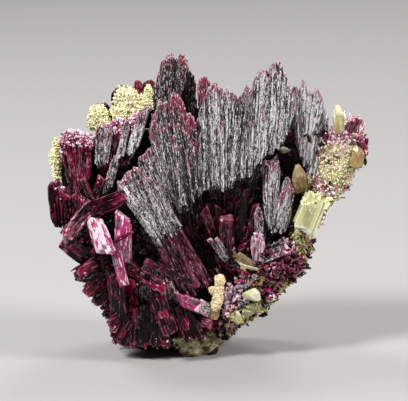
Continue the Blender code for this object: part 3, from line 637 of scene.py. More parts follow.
class Shape:
    """Closed bodies gathered into one mesh, with what the finishes read at each point."""

    def __init__(self):
        self.points, self.faces, self.count = [], [], 0
        self.stored = {key: [] for key in ("grain", "reach", "tone", "blush", "silver", "edge")}

    def add(self, points, faces, grain, reach, tone, blush, silver, edge=0.0):
        """One closed body. grain and reach are in millimetres."""
        self.points.append(points)
        self.faces.append(np.asarray(faces) + self.count)
        self.count += len(points)
        self.stored["grain"].append(grain)
        numbers = {"reach": reach, "tone": tone, "blush": blush, "silver": silver, "edge": edge}
        for key, value in numbers.items():
            self.stored[key].append(np.ones(len(points)) * value)

    def lump(self, points, faces, tone, blush, silver, edge=0.0):
        """One closed body without an end."""
        self.add(points, faces, points / MM, NO_END, tone, blush, silver, edge)

    def bar(self, start, end, across, widths, thick, rng, look, kind="lath", tip=0.5):
        """A straight crystal, widths at its start and end: a lath, a blunt block or a stub."""
        block = kind == "block"
        section = BLOCK if block else BLADE
        axis = (end - start).normalized()
        across = (across - axis * across.dot(axis)).normalized()
        facing = axis.cross(across)
        length = (end - start).length
        taper = min(0.3, (0.12 if block else tip) * widths[1] / length)
        if kind == "stub":
            steps, swell, lean = [0, 0.66, 1], [0.9, 1, rng.uniform(0.45, 0.95)], [0, 0.7, 1]
        else:
            steps = [0, 0.3, 0.62, 1 - taper * 1.4, 1 - taper, 1]
            swell = [0.9, 1, 1, 1, 0.99, 0.84] if block else [0.8, 1, 1, 1, 0.96, 0.45]
            lean = [0, 0, 0, 0.9, 1, 1]
        steps, swell, lean = np.array(steps), np.array(swell), np.array(lean)
        wide = (widths[0] + (widths[1] - widths[0]) * steps) * swell
        deep = thick * swell
        slant = rng.uniform(-0.7, 0.7) * widths[1] * lean
        sides, rings = len(section), len(steps)
        xs, ys = section[:, 0] * wide[:, None], section[:, 1] * deep[:, None]
        zs = steps[:, None] * length + section[:, 0] * slant[:, None]
        local = np.stack([xs, ys, zs], -1).reshape(-1, 3)
        points = np.array(start) + local @ np.array([across, facing, axis])
        ring, side = np.meshgrid(np.arange(rings - 1), np.arange(sides), indexing="ij")
        low, after = (ring * sides + side).ravel(), (ring * sides + (side + 1) % sides).ravel()
        top = sides * (rings - 1)
        caps = [[0, i, i + 1, i + 1] for i in range(1, sides - 1)]
        caps += [[top, top + i + 1, top + i, top + i] for i in range(1, sides - 1)]
        faces = np.concatenate([quads(low, low + sides, after + sides, after), caps])
        offset = np.array([rng.uniform(0, GRAIN_SHIFT) for _ in range(3)])
        reach = (length - zs).ravel() / MM
        if kind == "stub":
            reach += 1.5
        ends = (steps > 1 - taper * 1.2)[:, None] * np.ones(sides) * (kind != "stub")
        edge = np.maximum(BLOCK_EDGES if block else 0, ends).ravel()
        grain = local / MM + offset
        self.add(points, faces, grain, reach, rng.random(), look.blush, look.silver, edge)

    def sheet(self, piece, span, level, top, low, thick, rng, look):
        """One thin striated blade of a fan, with a ragged end and ragged feet."""
        fan_width = line_length(piece.tips) * SQUARE
        count = max(7, round((span[1] - span[0]) * fan_width / STRIA_STEP))
        us = np.linspace(*span, count)
        tips = np.array([fan_point(piece, u, 1) for u in us])
        feet = np.array([fan_point(piece, u, 0) for u in us])
        length = np.linalg.norm(tips - feet, axis=1).mean()
        rows = max(6, round(length / ROW_STEP))
        v, s = np.linspace(0, 1, count), np.linspace(0, 1, rows)[:, None]
        across, facing = (np.array(axis) for axis in fan_axes(piece))
        lobe = np.abs(2 * v - 1) ** 3 * rng.uniform(0.5, 1.3) * MM / length
        teeth = in_runs(count, 3, lambda: rng.random() ** 2)
        frays = in_runs(count, 3, rng.random)
        tops = top - lobe - teeth * 0.55 * MM / length
        lows = low + frays * 1.1 * MM / length
        t = lows + (tops - lows) * s**0.9
        points = feet + (tips - feet) * t[..., None]
        phases = [rng.uniform(0, math.tau) for _ in range(4)]
        turns = math.tau * length / MM
        wave = np.sin(turns / 7 * s + 3 * v + phases[0])
        wave = wave + 0.5 * np.sin(turns / 2.7 * s + 9 * v + phases[1])
        ridge, shift = (np.array([rng.random() for _ in range(count)]) for _ in range(2))
        ridge = np.where(np.arange(count) % 2, 0.3 * ridge, 0.5 + 0.5 * ridge)
        slabs = in_runs(count, 5, lambda: rng.gauss(0, 0.5))
        breaks = 0.7 + 0.3 * np.sin(turns / (2.5 + 3 * shift) * s + math.tau * shift)
        relief = look.striae * (ridge * breaks + 0.5 * slabs) * MM
        thin = np.minimum(1, np.minimum(v, 1 - v) * 6) * 0.65 + 0.35
        half = thick / 2 * thin * (1 - 0.55 * s**5)
        tilt = rng.uniform(-0.28, 0.28) * MM * (2 * v - 1)
        heights = (level + tilt + half + relief, level + tilt - half - relief[:, ::-1])
        base = points + across * (wave * 0.07 * MM)[..., None]
        both = np.stack([base + facing * height[..., None] for height in heights])
        front, back = np.arange(2 * rows * count).reshape(2, rows, count)
        faces = np.concatenate([
            quads(front[:-1, :-1], front[:-1, 1:], front[1:, 1:], front[1:, :-1]),
            quads(back[:-1, :-1], back[1:, :-1], back[1:, 1:], back[:-1, 1:]),
            quads(back[:-1, 0], front[:-1, 0], front[1:, 0], back[1:, 0]),
            quads(front[:-1, -1], back[:-1, -1], back[1:, -1], front[1:, -1]),
            quads(back[0, :-1], back[0, 1:], front[0, 1:], front[0, :-1]),
            quads(front[-1, :-1], front[-1, 1:], back[-1, 1:], back[-1, :-1]),
        ])  # fmt: skip
        offset = [rng.uniform(0, GRAIN_SHIFT) for _ in range(3)]
        grain = np.broadcast_arrays(
            us * (fan_width / MM) + offset[0] + 0 * s,
            np.stack(heights) / MM + offset[1],
            t * length / MM + offset[2],
        )
        reach = np.broadcast_to((tops - t) * length / MM, (2, rows, count)).ravel()
        rims = np.maximum((np.minimum(v, 1 - v) < 0.001) * 1.0, (s > 0.999) * 1.0)
        rims = np.broadcast_to(rims, (2, rows, count)).ravel()
        points, grain = both.reshape(-1, 3), np.stack(grain, -1).reshape(-1, 3)
        self.add(points, faces, grain, reach, rng.random(), look.blush, look.silver, rims)

    def grain(self, centre, size, rng, blush=0.5, silver=0.5):
        """A small angular grain."""
        points, faces = GRAIN_BALL
        turn_angle, turn_axis = rng.uniform(0, math.tau), Vector((rng.random(), 1, rng.random()))
        turn = np.array(Matrix.Rotation(turn_angle, 3, turn_axis))
        swell = np.array([rng.uniform(0.6, 1.2) for _ in points])[:, None]
        stretch = np.array([rng.uniform(0.55, 1.3) for _ in range(3)]) * size
        made = (points * swell * stretch) @ turn.T + np.array(centre)
        self.lump(made, faces, rng.random(), blush, silver)


def dress_fan(shape, piece, look, rng):
    """Builds a fan from overlapping thin blades and laths, and gives the places of its sugar."""
    across, facing = fan_axes(piece)
    span = line_length(piece.tips) * SQUARE / MM
    thick = piece.thick * MM / look.layers
    for layer in range(look.layers):
        level = (0.5 - (layer + 0.5) / look.layers) * (piece.thick * MM - thick * 0.3)
        behind = layer >= look.layers / 2
        u = -rng.uniform(0, 0.5) * look.blade[0] / span
        while u < 1:
            width = rng.uniform(*look.blade) / span
            u0, u1 = max(0, u), min(1, u + width * 1.12)
            u += width
            if (u1 - u0) * span < 0.7:
                continue
            top = 1 - rng.random() ** 2 * (0.05 if behind else look.ragged)
            low = rng.uniform(0, 0.04) if behind else rng.uniform(-0.01, 0.12)
            jitter = rng.uniform(-0.12, 0.12) * MM
            shape.sheet(piece, (u0, u1), level + jitter, top, low, thick * 0.8, rng, look)
    length = (fan_point(piece, 0.5, 1) - fan_point(piece, 0.5, 0)).length / MM
    for _ in range(round(look.laths * span)):
        u, low = rng.uniform(0.02, 0.98), rng.uniform(-0.02, 0.85)
        top = min(0.97, low + rng.uniform(0.12, 0.5))
        start, end = fan_point(piece, u, max(0, low)), fan_point(piece, u, top)
        sign = 1 if rng.random() < 0.72 else -1
        lift = facing * (piece.thick / 2 + rng.uniform(-0.12, 0.12)) * MM * sign
        turned = Matrix.Rotation(rng.gauss(0, 0.3), 3, end - start) @ across
        width = rng.uniform(0.22, 0.5) * MM
        if (end - start).length > 1.2 * MM:
            start, end = start + lift, end + lift
            shape.bar(start, end, turned, (width, width), 0.3 * MM, rng, look, tip=1.4)
    return [
        fan_point(piece, rng.uniform(0, 1), 1 - rng.random() ** 1.3 * min(0.35, 3.2 / length))
        + facing * rng.uniform(-0.5, 0.55) * piece.thick * MM
        for _ in range(round(look.sugar * span))
    ]


def dress_prism(shape, piece, look, rng):
    """A stout crystal with slabs and steps grown on its faces, or a pointed one of calcite."""
    start, end, axis, facing, side = prism_axes(piece)
    width, thick, length = piece.width * MM, piece.thick * MM, (end - start).length
    if piece.node in ("calcite_point", "amber_calcite"):
        shape.bar(start, end, side, (width, width * 0.8), thick, rng, look, tip=0.7)
        for sign in (-1, 1):
            shift = side * sign * width * 0.3 + facing * thick * 0.16
            far = start.lerp(end, rng.uniform(0.62, 0.86)) + shift
            widths = (width * 0.4, width * 0.5)
            shape.bar(start + shift, far, side, widths, thick * 0.7, rng, look, tip=0.9)
        return
    core = (width * 0.86, width * 0.82)
    shape.bar(start, end, side, core, thick * 0.84, rng, look, kind="block")
    for number in range(PRISM_SLABS):
        sign = 1 if number % 2 else -1
        near, far = rng.uniform(0, 0.45), rng.uniform(0.6, 1.0)
        if number % 4 < 3:
            shift = side * rng.uniform(-0.22, 0.22) * width + facing * 0.4 * thick * sign
            wide, deep = rng.uniform(0.25, 0.6) * width, 0.16 * thick
            turned = side
        else:
            shift = facing * rng.uniform(-0.2, 0.2) * thick + side * 0.42 * width * sign
            wide, deep = rng.uniform(0.3, 0.6) * thick, 0.14 * width
            turned = facing
        a, b = start + axis * near * length + shift, start + axis * far * length + shift
        turned = Matrix.Rotation(rng.gauss(0, 0.04), 3, axis) @ turned
        shape.bar(a, b, turned, (wide, wide), deep, rng, look, kind="block")


def pebble(shape, place, size, look, rng):
    """A lump with weathered facets. The honey coloured ones carry grains."""
    centre, half = spot(*place), half_of(size)
    cuts = [Vector([rng.gauss(0, 1) for _ in range(3)]).normalized() for _ in range(PEBBLE_CUTS)]
    points, faces = LUMP_BALL
    made = []
    for point in points:
        way = Vector(point)
        for cut in cuts:
            way -= cut * max(0, way.dot(cut) - CUT_DEPTH)
        swell = 1.1 + 0.06 * noise.noise(way * 3 + centre * 500)
        made.append(centre + Vector([w * h for w, h in zip(way, half)]) * swell * 1.2)
    made = np.array(made)
    pale = max(0, 0.6 - look.silver * 1.5)
    granular = look is LOOKS["honey"]
    shape.lump(made, faces, -0.5 * granular, 0.0, look.silver, pale)
    for _ in range(PEBBLE_GRAINS * granular):
        near = Vector(made[rng.randrange(len(made))])
        shape.grain(near, rng.uniform(0.1, 0.3) * MM, rng, 0.0, look.silver)


def crust(shape, piece, rng):
    """A lump with a granular skin, covered all over in angular grains."""
    centre, half = spot(*piece.place), half_of(piece.size)
    points, faces = LUMP_BALL
    made, ways = [], []
    for point in points:
        way = Vector(point)
        swell = 0.92 + 0.3 * noise.noise(way * 2.2 + centre * 900)
        place = Vector([w * h for w, h in zip(way, half)]) * swell
        near = noise.voronoi((place + centre) * 1500)[0][0]
        made.append(centre + place + way * (0.4 - near) * 0.3 * MM)
        ways.append(way)
    peach = 1.0 if piece.node == "cream_column" else 0.5
    shape.lump(np.array(made), faces, 0.1, peach, 0.5)
    area = half.x * half.y + half.x * half.z + half.y * half.z
    coarse = 1 if area > 6 * MM * MM else 0.62
    for _ in range(int(area / (MM * MM) * CRUST_GRAINS / coarse)):
        index = rng.randrange(len(made))
        size = rng.uniform(0.1, 0.27) * coarse * MM
        shape.grain(made[index] + ways[index] * size * rng.uniform(0, 0.8), size, rng, peach)


# ---- the rock ----

SKIN_STEP = 0.42 * MM  # between the points of the rock's skin
FLAT_HEIGHT = 0.3 * MM  # below this the rock is flat and rests on the ground
BARE_HEIGHT = 1.5 * MM  # below this nothing grows on the rock
GROWTH_SHARE = 0.75  # of the points that are tried where growth is closest
PATCH_HEIGHT = 1.2 * MM  # below this the groups have no crystals
LATH_LENGTH = 2  # millimetres, the crystals of a group that are longer are laths
BLOCK_GRAINS = 420  # tried on the large calcite block
THROAT_LATHS = 900  # tried in the dish; those that leave it are left out


def rock_skin():
    """Points, ways out, faces and heights of the rock's skin, close set, with lumps and pits."""
    helper = put("skin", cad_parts["matrix"].data.copy())
    remesh = helper.modifiers.new("remesh", "REMESH")
    remesh.mode, remesh.voxel_size = "VOXEL", SKIN_STEP
    graph = bpy.context.evaluated_depsgraph_get()
    mesh = bpy.data.meshes.new_from_object(helper.evaluated_get(graph))
    bpy.data.objects.remove(helper)
    points = np.array([vertex.co[:] for vertex in mesh.vertices])
    ways = np.array([vertex.normal[:] for vertex in mesh.vertices])
    faces = np.array([list(face.vertices) for face in mesh.polygons if len(face.vertices) == 4])
    heights = []
    for point in points:
        place = Vector(point)
        near = noise.voronoi(place * 800)[0][0]
        lumps = 0.55 * noise.noise(place * 360) + 0.5 * (0.45 - near)
        heights.append(lumps + 0.2 * noise.fractal(place * 700, 0.8, 2.0, 3))
    heights = np.array(heights)
    moved = points + ways * heights[:, None] * MM
    flat = points[:, 2] < FLAT_HEIGHT
    moved[flat, 2] = 0
    moved[:, 2] = np.maximum(moved[:, 2], 0)
    return moved, ways, faces, np.clip(0.5 + heights, 0, 1)


def part_of_rock(point, way):
    """Which part of the rock a point is on, way being the way out of the rock there."""
    if way[1] + 0.5 * noise.noise(Vector(point) * 160) > BACK_TURN:
        return "back"
    place = place_of(point)
    for part, outline in FRONT_PARTS.items():
        if inside(place, outline):
            return part
    return "left"


def picked(kinds, pick):
    """The kind that pick falls on, from 0 to 1, when the kinds' shares are laid end to end."""
    total = 0
    for kind, share in kinds.items():
        total += share
        if pick < total:
            break
    return kind


def rock_growth(points, ways, shapes, rng):
    """Grains and small crystals on the rock, of the kinds that belong at each place."""
    order = list(range(len(points)))
    rng.shuffle(order)
    for index in order[: len(order) // 4]:
        point, way = Vector(points[index]), Vector(ways[index])
        if point.z < BARE_HEIGHT:
            continue
        part = part_of_rock(point, way)
        if part == "back" and noise.noise(point * 130 + Vector((3, 8, 5))) < 0.12:
            continue
        _, share, kinds = ROCK_PARTS[part]
        cluster = noise.noise(point * 420) * 0.5 + 0.5
        if rng.random() > share * GROWTH_SHARE:
            continue
        kind = picked(kinds, 0.65 * cluster + 0.35 * rng.random())
        lean = Vector([rng.uniform(-0.8, 0.8) for _ in range(3)])
        axis = (way + lean).normalized()
        side = side_of(axis, rng)
        look = GROWTH[kind]
        shape = shapes[look.slot]
        if kind == "cream" or (kind == "honey" and rng.random() < 0.5):
            count, largest = (4, 0.26) if part == "upper" else (1, 0.32)
            for _ in range(count):
                size = rng.uniform(0.1, largest) * MM
                near = point + way * size * 0.2 + lean * 0.3 * MM
                shape.grain(near, size, rng, look.blush, look.silver)
            continue
        long, wide = STUB_SIZES.get(part, USUAL_STUB)
        width = rng.uniform(0.3, 0.8) * MM * wide
        start, end = point - axis * 0.4 * MM, point + axis * rng.uniform(0.4, 1.1) * long * MM
        shape.bar(start, end, side, (width, width), width * 0.6, rng, look, kind="stub")


def distance_to_line(place, line):
    """How far a place on the drawing grid is from a drawn line, in squares."""
    nearest = math.inf
    for a, b in zip(line, line[1:]):
        a, b = Vector(a), Vector(b)
        share = (place - a).dot(b - a) / (b - a).length_squared
        nearest = min(nearest, (a.lerp(b, min(1, max(0, share))) - place).length)
    return nearest


def rock_front(place):
    """The depth of the rock's front, in millimetres: a dish inside a raised rim."""
    near = max(0, 1 - distance_to_line(place, RIM_LINE) / RIM_REACH)
    height = near * near * (3 - 2 * near)
    crest = RIM_DEPTH + RIM_SLANT * (place.x - RIM_MIDDLE) / 100
    return DISH_DEPTH + (crest - DISH_DEPTH) * height


def on_rock(skin, column, row, lift):
    """The same place with the depth at which it stands lift millimetres out of the rock."""
    near = spot(column, row, -40)
    hit = skin.ray_cast(near, (spot(column, row, 0) - near).normalized())[0]
    if hit is None:
        return None
    return column, row, hit.y / MM + MIDDLE_DEPTH - lift


def standing_crystals(shapes, skin, rng):
    """The larger crystals, the groups of small ones and the lumps on the rock's front."""
    for piece in STANDING:
        look = LOOKS[piece.look]
        start, end = on_rock(skin, *piece.start), on_rock(skin, *piece.end)
        end = (*piece.end[:2], max(end[2], start[2] - piece.end[2] - 1.0)) if end else start
        dress_prism(shapes[look.slot], piece._replace(start=start, end=end), look, rng)
    for patch in PATCHES:
        for _ in range(patch.count):
            patch_crystal(shapes, skin, patch, rng)
    for look, place, size in PEBBLES:
        look = LOOKS[look]
        pebble(shapes[look.slot], on_rock(skin, *place), size, look, rng)
    crust_on_block(shapes, rng)


def patch_crystal(shapes, skin, patch, rng):
    """One small crystal of a group, left out where it would miss the rock or touch the ground."""
    look = LOOKS[patch.look]
    turn, share = rng.uniform(0, math.tau), math.sqrt(rng.random())
    column = patch.place[0] + patch.reach[0] * share * math.cos(turn)
    row = patch.place[1] + patch.reach[1] * share * math.sin(turn)
    length = rng.uniform(*patch.lengths)
    long = length > LATH_LENGTH
    lean = Vector((rng.uniform(-1, 1), -0.4 if long else -1, rng.uniform(-0.8, 1))).normalized()
    side = side_of(lean, rng)
    width = length * rng.uniform(0.3, 0.65) * MM
    place = on_rock(skin, column, row, -0.3)
    if place is None or spot(*place).z < PATCH_HEIGHT:
        return
    start = spot(*place)
    end = start + lean * (length + 0.3) * MM
    kind = "lath" if long else "stub"
    shapes[look.slot].bar(start, end, side, (width, width), width * 0.5, rng, look, kind=kind)


def crust_on_block(shapes, rng):
    """The cream crust that has grown over the upper end of the large calcite block."""
    block = next(piece for piece in PRISMS if piece.node == "calcite_block")
    start, end, _, facing, side = prism_axes(block)
    for _ in range(BLOCK_GRAINS):
        down, across = rng.uniform(-0.05, 0.55), rng.uniform(-0.5, 0.5)
        near = start.lerp(end, down) + side * across * block.width * MM
        near += facing * 0.42 * block.thick * MM
        if down + 0.9 * noise.noise(near * 500) + 0.2 * across > 0.3:
            continue
        look = GROWTH["wine" if rng.random() < 0.04 else "cream"]
        size = rng.uniform(0.14, 0.36) * MM
        shapes[look.slot].grain(near, size, rng, look.blush, look.silver)


def throat_blades(shape, rng):
    """Dark laths that lie on the dish and fan out from the root of the spray."""
    root, look = Vector(SPRAY_ROOT), LOOKS["throat"]
    for _ in range(THROAT_LATHS):
        turn = rng.uniform(0, math.tau)
        way = Vector((math.cos(turn), math.sin(turn)))
        near, length = rng.uniform(0, 60), rng.uniform(18, 46)
        a, b = root + way * near, root + way * (near + length)
        if not inside(b, FRONT_PARTS["throat"]):
            continue
        start = spot(*a, rock_front(a) + 0.9)
        end = spot(*b, rock_front(b) - rng.uniform(0.2, 2.2))
        width = rng.uniform(0.5, 1.5) * MM
        side = (end - start).cross(Vector((0, -1, 0)))
        side = Matrix.Rotation(rng.uniform(-0.9, 0.9), 3, end - start) @ side
        shape.bar(start, end, side, (width * 0.7, width), width * 0.35, rng, look, tip=1.2)


# ---- finishes ----


class Value:
    """A node's socket. Python arithmetic on it adds Math nodes."""

    def __init__(self, paint, socket):
        self.paint, self.socket = paint, socket

    def math(self, operation, *values):
        return self.paint.node("ShaderNodeMath", {"operation": operation}, dict(enumerate(values)))

    def __add__(self, other):
        return self.math("ADD", self, other)

    def __sub__(self, other):
        return self.math("SUBTRACT", self, other)

    def __rsub__(self, other):
        return self.math("SUBTRACT", other, self)

    def __mul__(self, other):
        return self.math("MULTIPLY", self, other)

    __radd__, __rmul__ = __add__, __mul__

    def smooth(self, low, high):
        """0 below low, 1 above high, and a smooth step between."""
        settings = {"interpolation_type": "SMOOTHSTEP"}
        return self.paint.node("ShaderNodeMapRange", settings, {0: self, 1: low, 2: high})


class Paint:
    """A material built node by node round one Principled shader."""

    def __init__(self, name):
        self.material = bpy.data.materials.new(name)
        self.material.use_nodes = True
        self.tree = self.material.node_tree
        self.shader = self.tree.nodes["Principled BSDF"]

    def node(self, kind, settings=None, inputs=None, output=0):
        """One node: its settings, then the values or links of its sockets."""
        made = self.tree.nodes.new(kind)
        for key, value in (settings or {}).items():
            setattr(made, key, value)
        for key, value in (inputs or {}).items():
            self.feed(made.inputs[key], value)
        return Value(self, made.outputs[output])

    def feed(self, socket, value):
        """Links a value to a socket, or sets the socket to a constant."""
        if isinstance(value, Value):
            self.tree.links.new(value.socket, socket)
        else:
            socket.default_value = value

    def number(self, name):
        """What each point of the mesh stores under that name, as a number."""
        return self.node("ShaderNodeAttribute", {"attribute_name": name}, output=2)

    def noise(self, across, along, detail=3.0):
        """Cloudy noise from 0 to 1, in clouds a millimetre across a crystal and along it."""
        grain = self.node("ShaderNodeAttribute", {"attribute_name": "grain"}, output=1)
        scale, settings = (across, across, along), {"operation": "MULTIPLY"}
        vector = self.node("ShaderNodeVectorMath", settings, {0: grain, 1: scale})
        inputs = {"Vector": vector, "Scale": 1.0, "Detail": detail, "Roughness": 0.55}
        return self.node("ShaderNodeTexNoise", None, inputs)

    def mix(self, share, first, second):
        """A colour between two."""
        pair = [(*c, 1) if isinstance(c, tuple) else c for c in (first, second)]
        settings = {"data_type": "RGBA"}
        return self.node("ShaderNodeMix", settings, {0: share, 6: pair[0], 7: pair[1]}, output=2)

    def bump(self, height, distance):
        """A bump that the Normal socket takes, distance in metres."""
        inputs = {"Strength": 1.0, "Distance": distance, "Height": height}
        return self.node("ShaderNodeBump", None, inputs)

    def finish(self, **sockets):
        """Sets or links the shader's sockets, and gives the material."""
        for name, value in sockets.items():
            words = [word if word.isupper() else word.title() for word in name.split("_")]
            self.feed(self.shader.inputs[" ".join(words)], value)
        return self.material


def silvery_erythrite():
    """Plum blades with crimson ends, their striae painted with a silvery sheen, and pale tips that
    are partly frost and partly painted highlight.
    """
    paint = Paint("silvery_erythrite")
    fine, strand = paint.noise(3.6, 0.9, detail=2), paint.noise(0.9, 0.12, detail=2)
    speck = paint.noise(4.2, 3.0, detail=1)
    tone, reach, blush, silver = map(paint.number, ("tone", "reach", "blush", "silver"))
    # painted sheen: silver grey striae that stand in for the light the striated faces reflect; it
    # also sets metallic and roughness
    painted_sheen = fine * 0.8 + speck * 0.7 + strand * 0.5 + tone * 0.14 + silver * 0.24
    painted_sheen = painted_sheen.smooth(1.18, 1.43)
    colour = paint.mix(painted_sheen, (0.018, 0.009, 0.012), (0.70, 0.69, 0.70))
    rosy = (blush - reach * 1.2 + (strand - 0.5) * 6 + (tone - 0.5) * 1.6).smooth(-0.3, 1.9)
    colour = paint.mix(rosy * 0.8, colour, (0.23, 0.016, 0.048))
    # pale pink-white at the very tips: partly frost, partly painted highlight
    frost_and_highlight = (0.3 - reach + (speck - 0.5) * 2.4).smooth(0.0, 0.3)
    colour = paint.mix(frost_and_highlight * 0.8, colour, (0.80, 0.60, 0.64))
    return paint.finish(
        base_color=colour,
        metallic=painted_sheen * 0.25,
        roughness=0.42 - painted_sheen * 0.1,
        specular_IOR_level=0.35,
        normal=paint.bump(fine + speck, 0.00008),
    )


def wine_erythrite():
    """Glassy crystals, nearly black inside and crimson where light comes through, with painted
    highlights in streaks, along the edges and tips, and as glints.
    """
    paint = Paint("wine_erythrite")
    fine, broad = paint.noise(2.6, 0.6, detail=2), paint.noise(0.6, 0.28, detail=2)
    speck = paint.noise(2.6, 1.2, detail=1)
    tone, reach, blush, silver = map(paint.number, ("tone", "reach", "blush", "silver"))
    thin = (2.4 - reach).smooth(0.0, 2.4) * 0.2
    glow = (broad * 1.6 + fine * 0.35 + tone * 0.65 + silver * 0.2 + thin).smooth(1.38, 2.0)
    colour = paint.mix(glow, (0.006, 0.002, 0.003), (0.2, 0.006, 0.034))
    # painted highlight: pale pinkish grey streaks on the glassy faces
    highlight_streak = (fine * 0.8 + speck * 0.3 + tone * 0.06 + silver * 0.12).smooth(0.66, 0.86)
    colour = paint.mix(highlight_streak * (tone * 0.6 + 0.15), colour, (0.34, 0.14, 0.20))
    # painted highlight: pale along the crystals' edges and near their tips
    painted_tip_highlight = (blush * 0.7 - reach).smooth(-0.2, 0.3)
    painted_edge_highlight = (paint.number("edge") * 0.5 + painted_tip_highlight * 0.5 + (fine - 0.5) * 3).smooth(0.3, 1.2)
    colour = paint.mix(painted_edge_highlight * 0.45, colour, (0.46, 0.17, 0.22))
    glint = (speck + broad + silver * 0.12).smooth(1.32, 1.44)
    colour = paint.mix(glint * 0.8, colour, (0.82, 0.60, 0.60))
    return paint.finish(
        base_color=colour,
        roughness=0.08 + fine * 0.2,
        specular_IOR_level=0.16,
        normal=paint.bump(fine + speck, 0.00006),
    )


def pink_erythrite():
    """Bright pink crystals with white and magenta streaks; the white is partly their own and partly
    painted highlight, and their edges carry a painted highlight.
    """
    paint = Paint("pink_erythrite")
    fine, broad = paint.noise(2.8, 0.8, detail=2), paint.noise(0.6, 0.3, detail=2)
    tone, silver, edge = map(paint.number, ("tone", "silver", "edge"))
    # white streaks: partly the crystals' own white, partly painted highlight
    pale = (fine * 1.1 + broad * 0.8 + tone * 0.1 + silver * 0.28).smooth(1.1, 1.28)
    colour = paint.mix(pale, (0.38, 0.010, 0.12), (0.80, 0.62, 0.71))
    dark = (broad * 1.2 - fine * 0.5 - silver * 0.26).smooth(0.24, 0.4)
    colour = paint.mix(dark * 0.85, colour, (0.06, 0.008, 0.026))
    # painted highlight along the edges
    colour = paint.mix(edge * fine * 0.25, colour, (0.80, 0.58, 0.68))
    return paint.finish(
        base_color=colour,
        roughness=0.2 + fine * 0.2,
        normal=paint.bump(fine, 0.00006),
    )


def cream_crust():
    """A dull cream crust of fine grains with olive gaps."""
    paint = Paint("cream_crust")
    speck = paint.noise(2.6, 2.6, detail=2)
    tone, blush = map(paint.number, ("tone", "blush"))
    light = (speck * 0.8 + tone * 0.5).smooth(0.3, 0.56)
    colour = paint.mix(light, (0.09, 0.07, 0.018), (0.95, 0.91, 0.55))
    colour = paint.mix(blush.smooth(0.6, 1.0) * 0.45, colour, (0.90, 0.64, 0.40))
    return paint.finish(base_color=colour, roughness=0.7, normal=paint.bump(speck, 0.00012))


def cream_rock():
    """Cream and brown rock, speckled with wine and gold. Where it is most wine red, in the dish and
    on the left, it turns nearly black; in the dish that dark is partly painted shade.
    """
    paint = Paint("cream_rock")
    cloud, grit = paint.noise(0.16, 0.16), paint.noise(3.2, 3.2)
    speck = paint.noise(1.3, 1.3, detail=4)
    blush, tone = map(paint.number, ("blush", "tone"))
    cream = (speck * 0.7 + grit * 0.2 + tone * 0.5 + (cloud - 0.5) * 0.6).smooth(0.5, 0.96)
    colour = paint.mix(cream, (0.085, 0.05, 0.025), (0.60, 0.53, 0.31))
    wine = (cloud * 0.5 + speck * 0.5 + blush * 0.5 - tone * 0.3).smooth(0.56, 0.76)
    colour = paint.mix(wine, colour, (0.030, 0.004, 0.009))
    gold = (grit + speck * 0.3).smooth(0.72, 0.84)
    colour = paint.mix(gold * 0.6, colour, (0.36, 0.12, 0.16))
    # nearly black where the rock is most wine red; in the dish this is partly painted shade
    colour = paint.mix(blush.smooth(0.6, 1.0) * 0.85, colour, (0.012, 0.003, 0.005))
    return paint.finish(
        base_color=colour,
        roughness=0.5 + grit * 0.3,
        normal=paint.bump(grit + speck, 0.0002),
    )


def honey_calcite():
    """Clear pale calcite, honey coloured where it is thick."""
    paint = Paint("honey_calcite")
    cloud, veil = paint.noise(0.5, 0.3), paint.noise(1.6, 0.8)
    silver, tone, edge = map(paint.number, ("silver", "tone", "edge"))
    amber = (cloud * 0.8 + silver * 0.5 + tone * 0.2).smooth(0.5, 1.0)
    colour = paint.mix(amber, (0.55, 0.51, 0.25), (0.29, 0.165, 0.055))
    olive = (veil * 0.8 - tone * 0.5).smooth(0.5, 0.8)
    colour = paint.mix(olive * 0.75, colour, (0.15, 0.13, 0.075))
    colour = paint.mix(veil.smooth(0.52, 0.7) * 0.45, colour, (0.72, 0.70, 0.50))
    colour = paint.mix(edge * (0.6 - silver * 0.5), colour, (0.72, 0.74, 0.66))
    return paint.finish(
        base_color=colour,
        roughness=0.1 + veil * 0.2,
        normal=paint.bump(veil, 0.00008),
        subsurface_weight=0.4,
        subsurface_radius=(0.0016, 0.0012, 0.0005),
        subsurface_scale=1.0,
    )


# ---- putting the specimen together ----

VIEW_DISTANCE = 0.7  # metres from the camera to the specimen's middle
SENSOR_WIDTH = 36  # millimetres
FLOOR_GAP = 0.00002  # metres, how far the floor lies below the specimen
SEED, ROCK_SEED = 100, 7  # of the first node's random draws and the rock's
# name, place in metres from the specimen's middle, size in metres, and power in watts
LAMPS = [
    ("key", (-0.32, -0.32, 0.46), 0.16, 5.2),
    ("right", (0.44, -0.18, 0.32), 0.14, 2.8),
    ("left", (-0.34, 0.26, 0.42), 0.2, 1.8),
    ("back", (0.2, 0.45, 0.5), 0.3, 2.4),
]


def put(name, data):
    """A new object in the scene."""
    made = bpy.data.objects.new(name, data)
    bpy.context.scene.collection.objects.link(made)
    return made


def show(name, shape, material, nodes):
    """Makes a gathered shape a piece of the specimen that stands for its nodes."""
    lowest, highest = (np.array(corner) for corner in cad_box)
    lowest[2] = 0 if "matrix" in nodes else GROUND_GAP
    points = np.clip(np.concatenate(shape.points), lowest, highest)
    faces = np.concatenate(shape.faces)
    corners = [f[:3] if f[2] == f[3] else f for f in faces.tolist()]
    mesh = bpy.data.meshes.new(name)
    mesh.from_pydata(points.tolist(), [], corners)
    for key, values in shape.stored.items():
        vector = key == "grain"
        stored = mesh.attributes.new(key, "FLOAT_VECTOR" if vector else "FLOAT", "POINT")
        flat = np.concatenate(values).astype(np.float32).ravel()
        stored.data.foreach_set("vector" if vector else "value", flat)
    mesh.materials.append(material)
    bm = bmesh.new()
    bm.from_mesh(mesh)
    bmesh.ops.recalc_face_normals(bm, faces=bm.faces)
    bm.to_mesh(mesh)
    bm.free()
    piece = put(name, mesh)
    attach(piece, "root")
    if nodes:
        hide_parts(*nodes)


